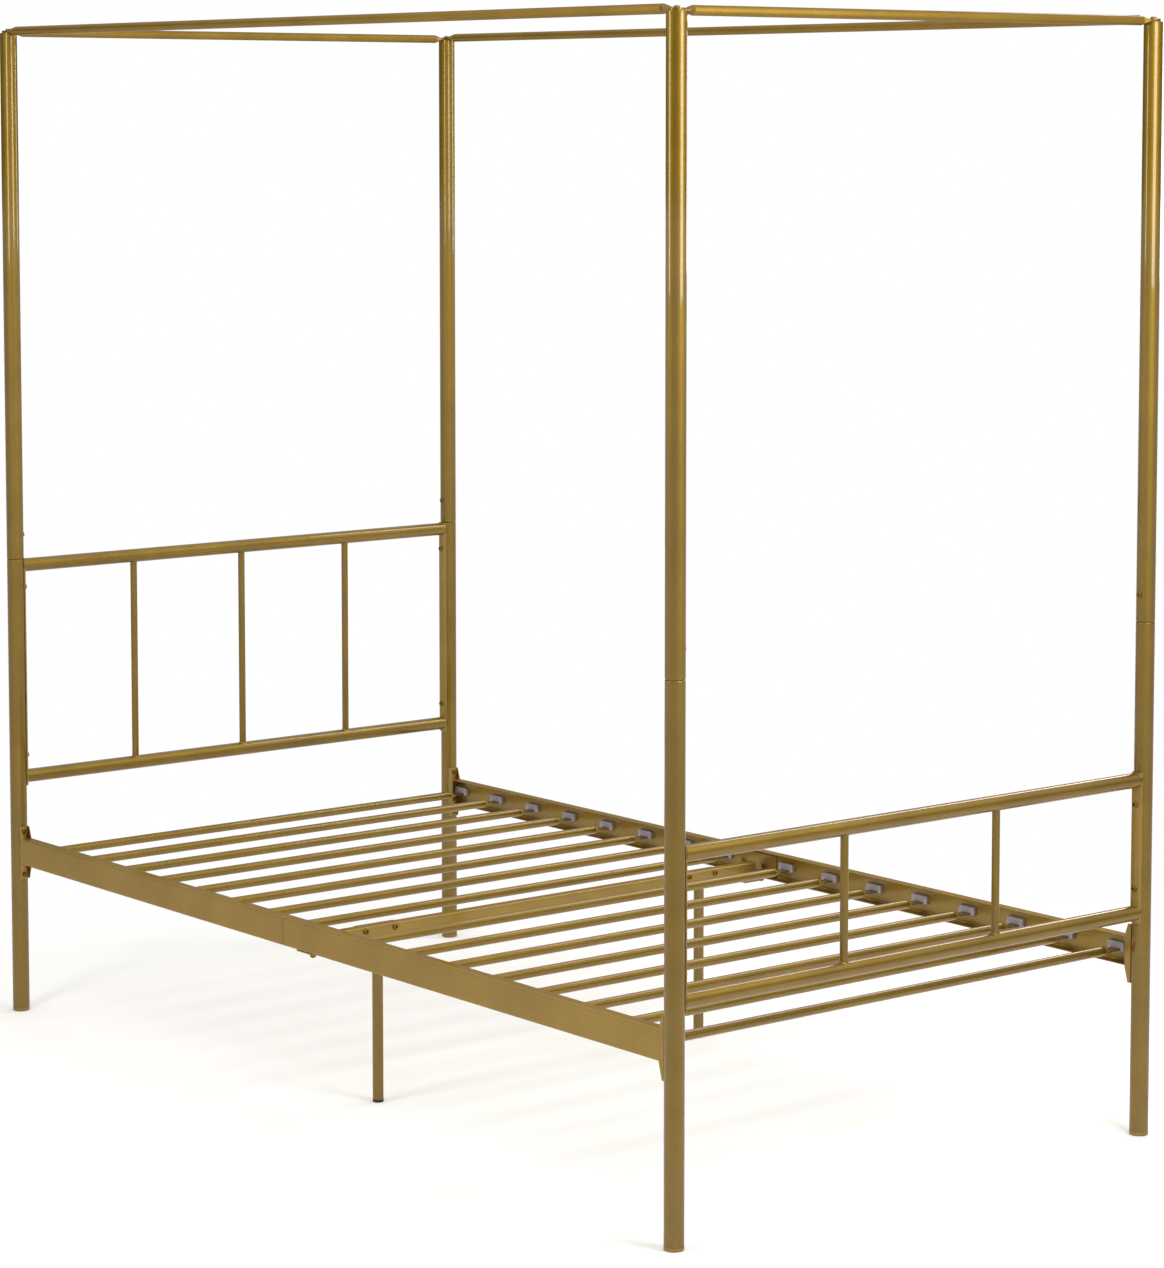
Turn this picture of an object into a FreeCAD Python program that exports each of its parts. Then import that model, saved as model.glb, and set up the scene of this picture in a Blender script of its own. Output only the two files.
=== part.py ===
"""Four poster canopy bed of painted steel tube, as a parametric FreeCAD document.

Axes: +X runs across the bed to its right side, +Y runs from the foot to the head, +Z is up.
The origin is on the floor, midway between the four posts. All sizes are in millimetres.
Each piece is an object of its own, bound to the sheet, and is written to parts/ as a STEP file.
"""

import FreeCAD
import Part
import os
import re

import Sketcher
from FreeCAD import Placement, Rotation, Vector

# ---------------------------------------------------------------- driving dimensions

SIZES = [
    # posts
    ("spacing_x", "1020", "post centre to post centre, across"),
    ("spacing_y", "1934", "post centre to post centre, along"),
    ("post_top", "1856", "floor to the top of a post's plug"),
    ("joint_rise", "868", "floor to the joint between the two halves of a post"),
    ("post_dia", "31.75", "post tube, outside"),
    ("post_wall", "1.2", "post tube wall"),
    ("post_round", "0.9", "rounding of the tube edges that meet at the joint"),
    ("slip_gap", "0.25", "radial gap of a spigot, stem or nested plate"),
    ("coat_gap", "0.1", "paint gap between a post and a saddle on it"),
    ("spigot_length", "65", "swaged end of a lower post"),
    ("joint_screw_rise", "45", "joint to its lock screw"),
    ("cap_flange", "6", "thickness of a foot cap under its post"),
    ("cap_stem", "20", "stem of a foot cap inside its post"),
    ("plug_flange", "2.5", "rim of a post top plug"),
    ("plug_stem", "22", "stem of a post top plug"),
    # canopy
    ("canopy_dia", "15.9", "canopy tube, outside"),
    ("canopy_wall", "1.2", "canopy tube wall"),
    ("canopy_tab_width", "23.6", "width of the pressed flat end"),
    ("canopy_shoulder", "1.625", "post's edge to the start of a canopy tab's flat"),
    ("canopy_press", "13", "length over which the tube turns flat"),
    ("canopy_bolt_dia", "6", "thread of a canopy bolt"),
    ("canopy_head_dia", "10.5", "head of a canopy bolt"),
    ("canopy_head_rise", "3.3", "height of that head"),
    ("drain_dia", "4", "drain hole that each closed tube has underneath"),
    ("drain_inset", "16", "end of the round tube to its drain hole"),
    # head and foot boards
    ("board_dia", "25.4", "board rail tube, outside"),
    ("board_wall", "1.2", "board rail tube wall"),
    ("spindle_dia", "13", "spindle tube, outside"),
    ("spindle_wall", "1", "spindle tube wall"),
    ("spindle_pitch", "249", "headboard spindle spacing"),
    ("foot_spindle_pitch", "331", "footboard spindle spacing"),
    ("head_top_rise", "854.5", "floor to the headboard's top rail axis"),
    ("head_low_rise", "450.5", "floor to the headboard's bottom rail axis"),
    ("foot_top_rise", "603", "floor to the footboard's top rail axis"),
    ("foot_low_rise", "379", "floor to the footboard's bottom rail axis"),
    ("saddle_wall", "3", "plate of the side strips and the rail end brackets"),
    ("strip_chord", "25", "width of a board's side strip"),
    ("strip_foot", "4", "strip past the bottom rail"),
    ("strip_head", "0.5", "strip past the top rail"),
    ("board_bolt_inset", "41", "board rail axis to the bolt next to it"),
    # side rails
    ("rail_low", "285", "floor to the underside of a side rail"),
    ("rail_height", "50", "side rail, top to bottom"),
    ("rail_depth", "20", "side rail, across its lips"),
    ("rail_out", "8.5", "post centre line to the rail's outer face"),
    ("rail_wall", "1.5", "side rail sheet"),
    ("rail_seam", "64", "seam of the two rail halves, toward the head"),
    ("bracket_height", "100", "rail end bracket, top to bottom"),
    ("bracket_drop", "3", "bracket centre below the rail's centre"),
    ("bracket_length", "8", "bracket flanges, from the saddle to the rail"),
    ("bracket_flange", "1.5", "bracket side flange sheet"),
    ("bracket_shoulder", "0.5", "saddle to where the flanges start to taper"),
    ("bracket_bolt_inset", "8", "bracket end to its bolt"),
    ("joiner_wall", "2", "joiner plate"),
    ("joiner_top_gap", "7", "joiner's upright leg to the rail's upper lip"),
    ("joiner_width", "16", "joiner's flat leg"),
    ("joiner_gap", "0.5", "joiner's end to the slat holder beside it"),
    ("joiner_foot", "110", "joiner past the seam toward the foot"),
    ("joiner_screw_1", "19", "seam to the first joiner screw"),
    ("joiner_screw_2", "75", "seam to the second joiner screw"),
    ("joiner_screw_drop", "5", "rail's centre down to the joiner screws"),
    # centre beam and legs
    ("beam_width", "20", "centre beam tube along the bed"),
    ("beam_height", "30", "centre beam tube, top to bottom"),
    ("beam_wall", "1.2", "centre beam tube wall"),
    ("beam_end_gap", "1.5", "beam tube's end to the rail's lips"),
    ("seat_width", "50", "end plate of the beam along the bed"),
    ("seat_wall", "2.5", "end plate sheet"),
    ("seat_length", "40", "end plate under the beam tube"),
    ("seat_step", "2.5", "beam tube's end to the step in its end plate"),
    ("beam_bolt_y", "-12", "beam bolt from the beam's centre line"),
    ("beam_bolt_in", "2", "post centre line in to the beam bolt"),
    ("leg_inset", "145", "post centre line in to a support leg"),
    ("leg_dia", "19", "support leg tube, outside"),
    ("leg_wall", "1.2", "support leg tube wall"),
    ("leg_plate_length", "84", "plate on a leg, across the bed"),
    ("leg_plate_wall", "3", "plate on a leg"),
    ("leg_bolt_pitch", "62", "the two bolts of a leg"),
    ("leg_bolt_drop", "7.5", "beam top down to the leg bolts"),
    ("leg_cap_flange", "5", "leg cap under its leg"),
    ("leg_cap_stem", "15", "leg cap inside its leg"),
    # slats
    ("slat_dia", "15.9", "slat tube, outside"),
    ("slat_wall", "1", "slat tube wall"),
    ("slat_drop", "4", "rail's centre down to the slat axes"),
    ("slat_head_inset", "12.2", "rail's head end to the first slat"),
    ("slat_foot_inset", "31.2", "rail's foot end to the last slat"),
    ("slat_beam_head", "95.5", "beam to the slat beside it, head side"),
    ("slat_beam_foot", "76.5", "beam to the slat beside it, foot side"),
    ("slat_press_inset", "37", "inside of the rail's web to the end of the round slat"),
    ("slat_press", "12", "length over which the slat turns flat"),
    ("tongue_width", "23", "width of a slat's tongue"),
    ("tongue_grip", "4.5", "tongue inside its holder"),
    ("tongue_gap", "0.15", "gap around a tongue in its holder"),
    ("holder_length", "38", "slat holder along the bed"),
    ("holder_height", "15", "slat holder, top to bottom"),
    ("holder_depth", "7", "slat holder in from the rail's web"),
    ("holder_lift", "5.3", "slat axis up to the middle of a holder"),
    # fasteners
    ("bolt_dia", "6", "frame bolt thread"),
    ("bore_gap", "0.2", "radial gap of a frame bolt in a hole that it passes"),
    ("head_dia", "10.5", "frame bolt head"),
    ("head_rise", "3.3", "height of that head"),
    ("screw_head_rise", "2.6", "height of the short screws' heads"),
    ("bolt_length", "12", "frame bolt under its head"),
    ("nut_dia", "12", "round weld nut in a post"),
    ("nut_length", "6", "that nut along its bolt"),
    ("hex_flats", "10", "hexagon nut across its flats"),
    ("hex_length", "5", "hexagon nut along its bolt"),
    ("thread_gap", "0.05", "radial gap between a bolt and its nut"),
    ("screw_tip_gap", "0.2", "screw tip short of the face that it must not break"),
]

doc = FreeCAD.newDocument("four_poster_bed")
sheet = doc.addObject("Spreadsheet::Sheet", "sizes")
for row, (alias, size, words) in enumerate(SIZES, start=1):
    sheet.set("A%d" % row, words)
    sheet.set("B%d" % row, size)
    sheet.setAlias("B%d" % row, alias)
doc.recompute()

ALIASES = {alias for alias, _, _ in SIZES}

# Lengths that several pieces share, each worked out from the sheet.
HALF_X = "(spacing_x / 2)"
HALF_Y = "(spacing_y / 2)"
POST_BORE = "(post_dia / 2 - post_wall)"
SADDLE_IN = "(post_dia / 2 + coat_gap)"
SADDLE_OUT = "(post_dia / 2 + coat_gap + saddle_wall)"
CANOPY_TAB = "(2 * canopy_wall)"
RAIL_MID = "(rail_low + rail_height / 2)"
BRACKET_MID = "(rail_low + rail_height / 2 - bracket_drop)"
BRACKET_REACH = "(post_dia / 2 + coat_gap + saddle_wall + bracket_length)"
RAIL_END = "(spacing_y / 2 - %s)" % BRACKET_REACH
BORE = "(bolt_dia / 2 + bore_gap)"
SLAT_RISE = "(rail_low + rail_height / 2 - slat_drop)"
WEB_OUT = "(spacing_x / 2 + rail_out)"
WEB_IN = "(spacing_x / 2 + rail_out - rail_wall)"
LIP_IN = "(spacing_x / 2 + rail_out - rail_depth)"
SCREW_RISE = "(rail_low + rail_height / 2 - joiner_screw_drop)"
BEAM_LOW = "(rail_low - seat_wall)"
BEAM_END = "(spacing_x / 2 + rail_out - rail_depth - beam_end_gap)"
LEG_X = "(spacing_x / 2 - leg_inset)"
LEG_BOLT_RISE = "(rail_low - seat_wall + beam_height - leg_bolt_drop)"
CORNERS = [("head_left", -1, 1), ("head_right", 1, 1), ("foot_left", -1, -1), ("foot_right", 1, -1)]


# ---------------------------------------------------------------- drawing helpers

def bound(text):
    """Turn a formula in the sheet's words into a FreeCAD expression."""
    def cell(match):
        word = match.group(0)
        return "sizes." + word if word in ALIASES else word
    return re.sub(r"[a-z_][a-z_0-9]*", cell, text)


def number(text):
    """The present value of such a formula."""
    return float(sheet.evalExpression(bound(text)))


def new_body(label):
    body = doc.addObject("PartDesign::Body", label)
    body.Label = label
    return body


def place(item, across="0", along="0", rise="0", turn=0, axis=(0, 0, 1)):
    """Put an object at a bound place, turned by a fixed angle."""
    item.Placement = Placement(Vector(0, 0, 0), Rotation(Vector(*axis), turn))
    for way, text in (("x", across), ("y", along), ("z", rise)):
        item.setExpression("Placement.Base." + way, bound(text))
    return item


def origin_plane(body, role):
    return next(item for item in body.Origin.OriginFeatures if item.Role == role)


def new_sketch(body, role, offset="0"):
    sketch = body.newObject("Sketcher::SketchObject", body.Name + "_sketch")
    sketch.AttachmentSupport = [(origin_plane(body, role), "")]
    sketch.MapMode = "FlatFace"
    sketch.setExpression("AttachmentOffset.Base.z", bound(offset))
    return sketch


def drive(sketch, kind, text, *where):
    """Add a dimension that follows a formula."""
    index = sketch.addConstraint(Sketcher.Constraint(kind, *where, number(text)))
    sketch.setExpression("Constraints[%d]" % index, bound(text))


def pin(sketch, item, point, across, up):
    """Hold a point at a bound place, measured from the sketch's origin."""
    for kind, text, line in (("DistanceX", across, -2), ("DistanceY", up, -1)):
        if text == "0":
            sketch.addConstraint(Sketcher.Constraint("PointOnObject", item, point, line))
        else:
            drive(sketch, kind, text, -1, 1, item, point)


def circle(sketch, radius, across="0", up="0"):
    centre = Vector(number(across), number(up), 0)
    item = sketch.addGeometry(Part.Circle(centre, Vector(0, 0, 1), number(radius)))
    drive(sketch, "Radius", radius, item)
    pin(sketch, item, 3, across, up)


def ellipse(sketch, width, thickness):
    """An ellipse about the sketch's origin, its long axis along the sketch's X."""
    shape = Part.Ellipse(Vector(0, 0, 0), number(width) / 2, number(thickness) / 2)
    item = sketch.addGeometry(shape)
    sketch.exposeInternalGeometry(item)
    drive(sketch, "Distance", width, item + 1)
    drive(sketch, "Distance", thickness, item + 2)
    sketch.addConstraint(Sketcher.Constraint("Coincident", item, 3, -1, 1))
    sketch.addConstraint(Sketcher.Constraint("Horizontal", item + 1))


def outline(sketch, corners):
    """A closed outline of straight sides through bound corners."""
    points = [Vector(number(across), number(up), 0) for across, up in corners]
    first = sketch.GeometryCount
    count = len(corners)
    for i in range(count):
        sketch.addGeometry(Part.LineSegment(points[i], points[(i + 1) % count]))
    for i in range(count):
        sketch.addConstraint(
            Sketcher.Constraint("Coincident", first + i, 2, first + (i + 1) % count, 1))
    for i, (across, up) in enumerate(corners):
        pin(sketch, first + i, 1, across, up)


def box_corners(left, right, low, high):
    return [(left, low), (right, low), (right, high), (left, high)]


def extrude(body, sketch, length, both_ways=False, back=False, kind="Pad"):
    """Pad or pocket a sketch; both_ways spreads the length about the sketch plane."""
    feature = body.newObject("PartDesign::" + kind, body.Name + "_" + kind.lower())
    feature.Profile = sketch
    feature.Type = "Length"
    feature.SideType = "Symmetric" if both_ways else "One side"
    feature.Reversed = back
    feature.setExpression("Length", bound(length))
    return feature


def pocket(body, sketch, length, both_ways=False, back=False):
    return extrude(body, sketch, length, both_ways, back, kind="Pocket")


def spin(body, role, corners, axis):
    """Revolve an outline about its sketch's H_Axis or V_Axis."""
    sketch = new_sketch(body, role)
    outline(sketch, corners)
    feature = body.newObject("PartDesign::Revolution", body.Name + "_turn")
    feature.Profile = sketch
    feature.ReferenceAxis = (sketch, [axis])
    feature.Angle = 360
    return feature


def tube(body, role, radius, wall, length, both_ways=False, offset="0", centre=("0", "0")):
    """A round tube along the normal of an origin plane."""
    sketch = new_sketch(body, role, offset)
    circle(sketch, radius, *centre)
    circle(sketch, "%s - %s" % (radius, wall), *centre)
    return extrude(body, sketch, length, both_ways)


def round_edges(body, feature, height, radius, size):
    """Fillet the circular edge of a given radius at a given height."""
    doc.recompute()
    names = []
    for i, edge in enumerate(feature.Shape.Edges, start=1):
        curve = edge.Curve
        if isinstance(curve, Part.Circle) and abs(curve.Radius - number(radius)) < 1e-4 \
                and abs(curve.Center.z - number(height)) < 1e-4:
            names.append("Edge%d" % i)
    fillet = body.newObject("PartDesign::Fillet", body.Name + "_round")
    fillet.Base = (feature, names)
    fillet.setExpression("Radius", bound(size))
    return fillet


def bolt(label, thread, head, head_rise, length, edge="0.8"):
    """A bolt along X: its head lies beyond the origin and its shank runs back to -X."""
    body = new_body(label)
    profile = [
        ("-(%s)" % length, "0"), (head_rise, "0"),
        (head_rise, "%s / 2 - 2 * %s" % (head, edge)),
        ("%s - %s" % (head_rise, edge), "%s / 2" % head), ("0", "%s / 2" % head),
        ("0", "%s / 2" % thread), ("-(%s)" % length, "%s / 2" % thread),
    ]
    spin(body, "XY_Plane", profile, "H_Axis")
    return body


def gather(label, items):
    """One node that holds several separate solids."""
    group = doc.addObject("Part::Compound", label)
    group.Label = label
    group.Links = items
    return group


def copies(label, pattern, places):
    """The same piece at several bound places, as one node."""
    links = []
    for i, spot in enumerate(places, start=1):
        link = doc.addObject("App::Link", "%s_%d" % (label, i))
        link.LinkedObject = pattern
        link.LinkTransform = False
        links.append(place(link, **spot))
    return gather(label, links)


def signed(sign, text):
    return text if sign > 0 else "-" + text


# ---------------------------------------------------------------- posts

def lower_post(corner, side, end, board_low, board_top):
    """Tube with a swaged spigot, and bolt holes toward its board and its side rail."""
    body = new_body("lower_post_" + corner)
    spigot = "%s - slip_gap" % POST_BORE
    top = "joint_rise + spigot_length"
    spin(body, "XZ_Plane", [
        (POST_BORE, "cap_flange"), ("post_dia / 2", "cap_flange"),
        ("post_dia / 2", "joint_rise - post_round"),
        ("post_dia / 2 - post_round", "joint_rise"), (spigot, "joint_rise"),
        (spigot, top), ("%s - post_wall" % spigot, top),
        ("%s - post_wall" % spigot, "joint_rise - post_wall"),
        (POST_BORE, "joint_rise - 2 * post_wall"),
    ], "V_Axis")

    board_holes = new_sketch(body, "YZ_Plane")
    circle(board_holes, BORE, "0", "%s + board_bolt_inset" % board_low)
    circle(board_holes, BORE, "0", "%s - board_bolt_inset" % board_top)
    pocket(body, board_holes, "post_dia", back=side < 0)

    screw_hole = new_sketch(body, "YZ_Plane")
    circle(screw_hole, "bolt_dia / 2 + thread_gap", "0", "joint_rise + joint_screw_rise")
    pocket(body, screw_hole, "post_dia", back=side < 0)

    rail_holes = new_sketch(body, "XZ_Plane")
    reach = "bracket_height / 2 - bracket_bolt_inset"
    circle(rail_holes, BORE, "0", "%s + %s" % (BRACKET_MID, reach))
    circle(rail_holes, BORE, "0", "%s - (%s)" % (BRACKET_MID, reach))
    pocket(body, rail_holes, "post_dia", back=end > 0)
    return place(body, signed(side, HALF_X), signed(end, HALF_Y))


def upper_post(corner, side, end):
    """Plain tube on the spigot, with a hole for the lock screw."""
    body = new_body("upper_post_" + corner)
    length = "post_top - plug_flange - joint_rise"
    pad = tube(body, "XY_Plane", "post_dia / 2", "post_wall", length, offset="joint_rise")
    round_edges(body, pad, "joint_rise", "post_dia / 2", "post_round")
    screw_hole = new_sketch(body, "YZ_Plane")
    circle(screw_hole, BORE, "0", "joint_rise + joint_screw_rise")
    pocket(body, screw_hole, "post_dia", back=side < 0)
    return place(body, signed(side, HALF_X), signed(end, HALF_Y))


def corner_spots(rise="0"):
    return [dict(across=signed(side, HALF_X), along=signed(end, HALF_Y), rise=rise)
            for _, side, end in CORNERS]


def plug(label, radius, flange, stem_radius, stem, edge="1.2"):
    """A flanged stem about Z that stands on its flange, with a rounded lower edge."""
    body = new_body(label)
    spin(body, "XZ_Plane", [
        ("0", "0"), ("%s - %s" % (radius, edge), "0"), (radius, edge), (radius, flange),
        (stem_radius, flange), (stem_radius, "%s + %s" % (flange, stem)),
        ("0", "%s + %s" % (flange, stem)),
    ], "V_Axis")
    return body


pieces = []
for corner, side, end in CORNERS:
    low, top = ("head_low_rise", "head_top_rise") if end > 0 else ("foot_low_rise", "foot_top_rise")
    pieces.append(lower_post(corner, side, end, low, top))
    pieces.append(upper_post(corner, side, end))

foot_cap = plug("foot_cap", "post_dia / 2", "cap_flange", "%s - slip_gap" % POST_BORE, "cap_stem")
pieces.append(copies("foot_caps", foot_cap, corner_spots()))

# The top plug hangs inside the post from its rim, and takes the canopy bolt's thread.
top_plug = new_body("top_plug")
plug_bore = "canopy_bolt_dia / 2 + thread_gap"
spin(top_plug, "XZ_Plane", [
    (plug_bore, "0"), ("post_dia / 2", "0"), ("post_dia / 2", "-plug_flange"),
    ("%s - slip_gap" % POST_BORE, "-plug_flange"),
    ("%s - slip_gap" % POST_BORE, "-plug_flange - plug_stem"),
    (plug_bore, "-plug_flange - plug_stem"),
], "V_Axis")
pieces.append(copies("post_top_plugs", top_plug, corner_spots("post_top")))

joint_screw = bolt("joint_screw", "bolt_dia", "head_dia", "screw_head_rise",
                   "2 * post_wall + 2 * slip_gap")
pieces.append(copies("joint_screws", joint_screw, [
    dict(across=signed(side, "(spacing_x / 2 - post_dia / 2)"), along=signed(end, HALF_Y),
         rise="joint_rise + joint_screw_rise", turn=0 if side < 0 else 180)
    for _, side, end in CORNERS]))


# ---------------------------------------------------------------- canopy and slats

def pressed_tube(label, dia, wall, round_half, flat_half, tip_half, tab_width, eye=None):
    """A tube along X whose two ends are pressed into flat tabs.

    Each half runs from the middle: round up to round_half, flat from flat_half to tip_half.
    With an eye, the tab ends in a half round about tip_half and has a hole there.
    """
    body = new_body(label)
    tube(body, "YZ_Plane", "%s / 2" % dia, wall, "2 * (%s)" % round_half, both_ways=True)

    mouth = new_sketch(body, "YZ_Plane", round_half)
    circle(mouth, "%s / 2" % dia)
    lips = new_sketch(body, "YZ_Plane", flat_half)
    ellipse(lips, tab_width, "2 * %s" % wall)
    taper = body.newObject("PartDesign::AdditiveLoft", label + "_taper")
    taper.Profile = mouth
    taper.Sections = [lips]

    tab = new_sketch(body, "XY_Plane")
    outline(tab, box_corners(flat_half, tip_half, "-%s / 2" % tab_width, "%s / 2" % tab_width))
    mirrored = [taper, extrude(body, tab, "2 * %s" % wall, both_ways=True)]
    if eye:
        disc = new_sketch(body, "XY_Plane")
        circle(disc, "%s / 2" % tab_width, tip_half)
        mirrored.append(extrude(body, disc, "2 * %s" % wall, both_ways=True))
        hole = new_sketch(body, "XY_Plane")
        circle(hole, "%s / 2" % eye, tip_half)
        mirrored.append(pocket(body, hole, dia, both_ways=True))

    mirror = body.newObject("PartDesign::Mirrored", label + "_other_end")
    mirror.Originals = mirrored
    mirror.MirrorPlane = (origin_plane(body, "YZ_Plane"), [""])
    body.Tip = mirror

    drain = new_sketch(body, "XY_Plane")
    circle(drain, "drain_dia / 2", "%s - drain_inset" % round_half)
    pocket(body, drain, dia)
    return body


def canopy_rail(label, span):
    flat = "(post_dia / 2 + canopy_shoulder)"
    return pressed_tube(
        label, "canopy_dia", "canopy_wall", "%s - %s - canopy_press" % (span, flat),
        "%s - %s" % (span, flat), span, "canopy_tab_width", eye="(canopy_bolt_dia + 0.5)")


# The side rails' tabs lie on the head and foot rails' tabs.
low_tab = "post_top + canopy_wall"
high_tab = "post_top + 3 * canopy_wall"
for name, end in (("head", 1), ("foot", -1)):
    rail = canopy_rail("canopy_rail_" + name, HALF_X)
    pieces.append(place(rail, along=signed(end, HALF_Y), rise=low_tab))
for name, side in (("left", -1), ("right", 1)):
    rail = canopy_rail("canopy_rail_" + name, HALF_Y)
    pieces.append(place(rail, across=signed(side, HALF_X), rise=high_tab, turn=90))

canopy_bolt = bolt("canopy_bolt", "canopy_bolt_dia", "canopy_head_dia", "canopy_head_rise",
                   "2 * %s + plug_flange + plug_stem" % CANOPY_TAB, edge="1.4")
pieces.append(copies("canopy_bolts", canopy_bolt, [
    dict(spot, turn=-90, axis=(0, 1, 0))
    for spot in corner_spots("post_top + 2 * %s" % CANOPY_TAB)]))

SLATS_PER_HALF = 8
slat_places = []
for end, near, inset in ((1, "slat_beam_head", "slat_head_inset"), (-1, "slat_beam_foot", "slat_foot_inset")):
    span = "(%s - %s - %s)" % (RAIL_END, inset, near)
    for i in range(SLATS_PER_HALF):
        slat_places.append(signed(end, "(%s + %s * %d / %d)" % (near, span, i, SLATS_PER_HALF - 1)))
slat_places.sort(key=number, reverse=True)

slat_round = "%s - slat_press_inset" % WEB_IN
for i, along in enumerate(slat_places, start=1):
    slat = pressed_tube("slat_%02d" % i, "slat_dia", "slat_wall", slat_round,
                        "%s + slat_press" % slat_round,
                        "%s - holder_depth + tongue_grip" % WEB_IN, "tongue_width")
    pieces.append(place(slat, along=along, rise=SLAT_RISE))

# A holder sits on the rail's web, its back on the local YZ plane, and opens toward -X.
holder = new_body("slat_holder")
holder_face = new_sketch(holder, "XZ_Plane")
outline(holder_face, box_corners("-holder_depth", "0", "holder_lift - holder_height / 2",
                                 "holder_lift + holder_height / 2"))
extrude(holder, holder_face, "holder_length", both_ways=True)
slot = new_sketch(holder, "XY_Plane")
outline(slot, box_corners("-holder_depth - 1", "-holder_depth + tongue_grip + tongue_gap",
                          "-tongue_width / 2 - tongue_gap", "tongue_width / 2 + tongue_gap"))
pocket(holder, slot, "2 * slat_wall + 2 * tongue_gap", both_ways=True)
pieces.append(copies("slat_holders", holder, [
    dict(across=signed(side, WEB_IN), along=along, rise=SLAT_RISE, turn=0 if side > 0 else 180)
    for along in slat_places for side in (-1, 1)]))


# ---------------------------------------------------------------- head and foot boards

def board_rail(label, end, rise):
    """Cross tube whose ends are coped to the side strips."""
    body = new_body(label)
    tube(body, "YZ_Plane", "board_dia / 2", "board_wall", "spacing_x", both_ways=True)
    cope = new_sketch(body, "XY_Plane")
    for side in (-1, 1):
        circle(cope, SADDLE_OUT, signed(side, HALF_X))
    pocket(body, cope, "2 * board_dia", both_ways=True)
    return place(body, along=signed(end, HALF_Y), rise=rise)


def spindle(label, end, across, low, top):
    """Upright tube whose ends are coped to the two board rails."""
    body = new_body(label)
    tube(body, "XY_Plane", "spindle_dia / 2", "spindle_wall", "%s - %s" % (top, low))
    cope = new_sketch(body, "YZ_Plane")
    circle(cope, "board_dia / 2")
    circle(cope, "board_dia / 2", "0", "%s - %s" % (top, low))
    pocket(body, cope, "2 * spindle_dia", both_ways=True)
    return place(body, across=across, along=signed(end, HALF_Y), rise=low)


def side_strips(label, end, low, top):
    """Curved strips that hug the inner sides of two posts and carry a board."""
    body = new_body(label[:-1])
    foot = "%s - board_dia / 2 - strip_foot" % low
    height = "%s - %s + board_dia + strip_foot + strip_head" % (top, low)
    tube(body, "XY_Plane", SADDLE_OUT, "saddle_wall", height)
    far = "post_dia"
    side = "strip_chord / 2"
    trim = new_sketch(body, "XY_Plane")
    outline(trim, [("-" + far, "-" + far), (far, "-" + far), (far, "-" + side), ("0", "-" + side),
                   ("0", side), (far, side), (far, far), ("-" + far, far)])
    pocket(body, trim, height, back=True)
    holes = new_sketch(body, "YZ_Plane")
    circle(holes, BORE, "0", "board_dia / 2 + strip_foot + board_bolt_inset")
    circle(holes, BORE, "0", "%s - board_dia / 2 - strip_head - board_bolt_inset" % height)
    pocket(body, holes, far, back=True)
    return copies(label, body, [
        dict(across=signed(side, HALF_X), along=signed(end, HALF_Y), rise=foot,
             turn=0 if side < 0 else 180) for side in (-1, 1)])


BOARDS = [
    ("headboard", 1, "head_low_rise", "head_top_rise",
     {"left": "-spindle_pitch", "middle": "0", "right": "spindle_pitch"}),
    ("footboard", -1, "foot_low_rise", "foot_top_rise",
     {"left": "-foot_spindle_pitch / 2", "right": "foot_spindle_pitch / 2"}),
]
for name, end, low, top, spindles in BOARDS:
    pieces.append(board_rail(name + "_top_rail", end, top))
    pieces.append(board_rail(name + "_bottom_rail", end, low))
    for where, across in spindles.items():
        pieces.append(spindle("%s_spindle_%s" % (name, where), end, across, low, top))
    pieces.append(side_strips(name + "_side_strips", end, low, top))


# ---------------------------------------------------------------- side rails

def side_rail(label, side, start, stop, holes):
    """Half of a folded channel that opens inward; start and stop are places along the bed."""
    body = new_body(label)
    high = "rail_low + rail_height"
    channel = new_sketch(body, "XZ_Plane", "-(%s)" % stop)
    outline(channel, [(signed(side, across), up) for across, up in (
        (WEB_OUT, "rail_low"), (WEB_OUT, high), (LIP_IN, high), (LIP_IN, high + " - rail_wall"),
        (WEB_IN, high + " - rail_wall"), (WEB_IN, "rail_low + rail_wall"),
        (LIP_IN, "rail_low + rail_wall"), (LIP_IN, "rail_low"))])
    extrude(body, channel, "(%s) - (%s)" % (stop, start))
    if holes:
        screws = new_sketch(body, "YZ_Plane")
        for reach in ("joiner_screw_1", "joiner_screw_2"):
            circle(screws, "bolt_dia / 2 + thread_gap", "rail_seam - " + reach, SCREW_RISE)
        # The thread stops inside the sheet, so the outer face stays plain.
        pocket(body, screws, WEB_OUT + " - screw_tip_gap", back=side > 0)
        drop = new_sketch(body, "XY_Plane")
        circle(drop, BORE, signed(side, "(spacing_x / 2 - beam_bolt_in)"), "beam_bolt_y")
        pocket(body, drop, RAIL_MID, back=True)
    return place(body)


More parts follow.
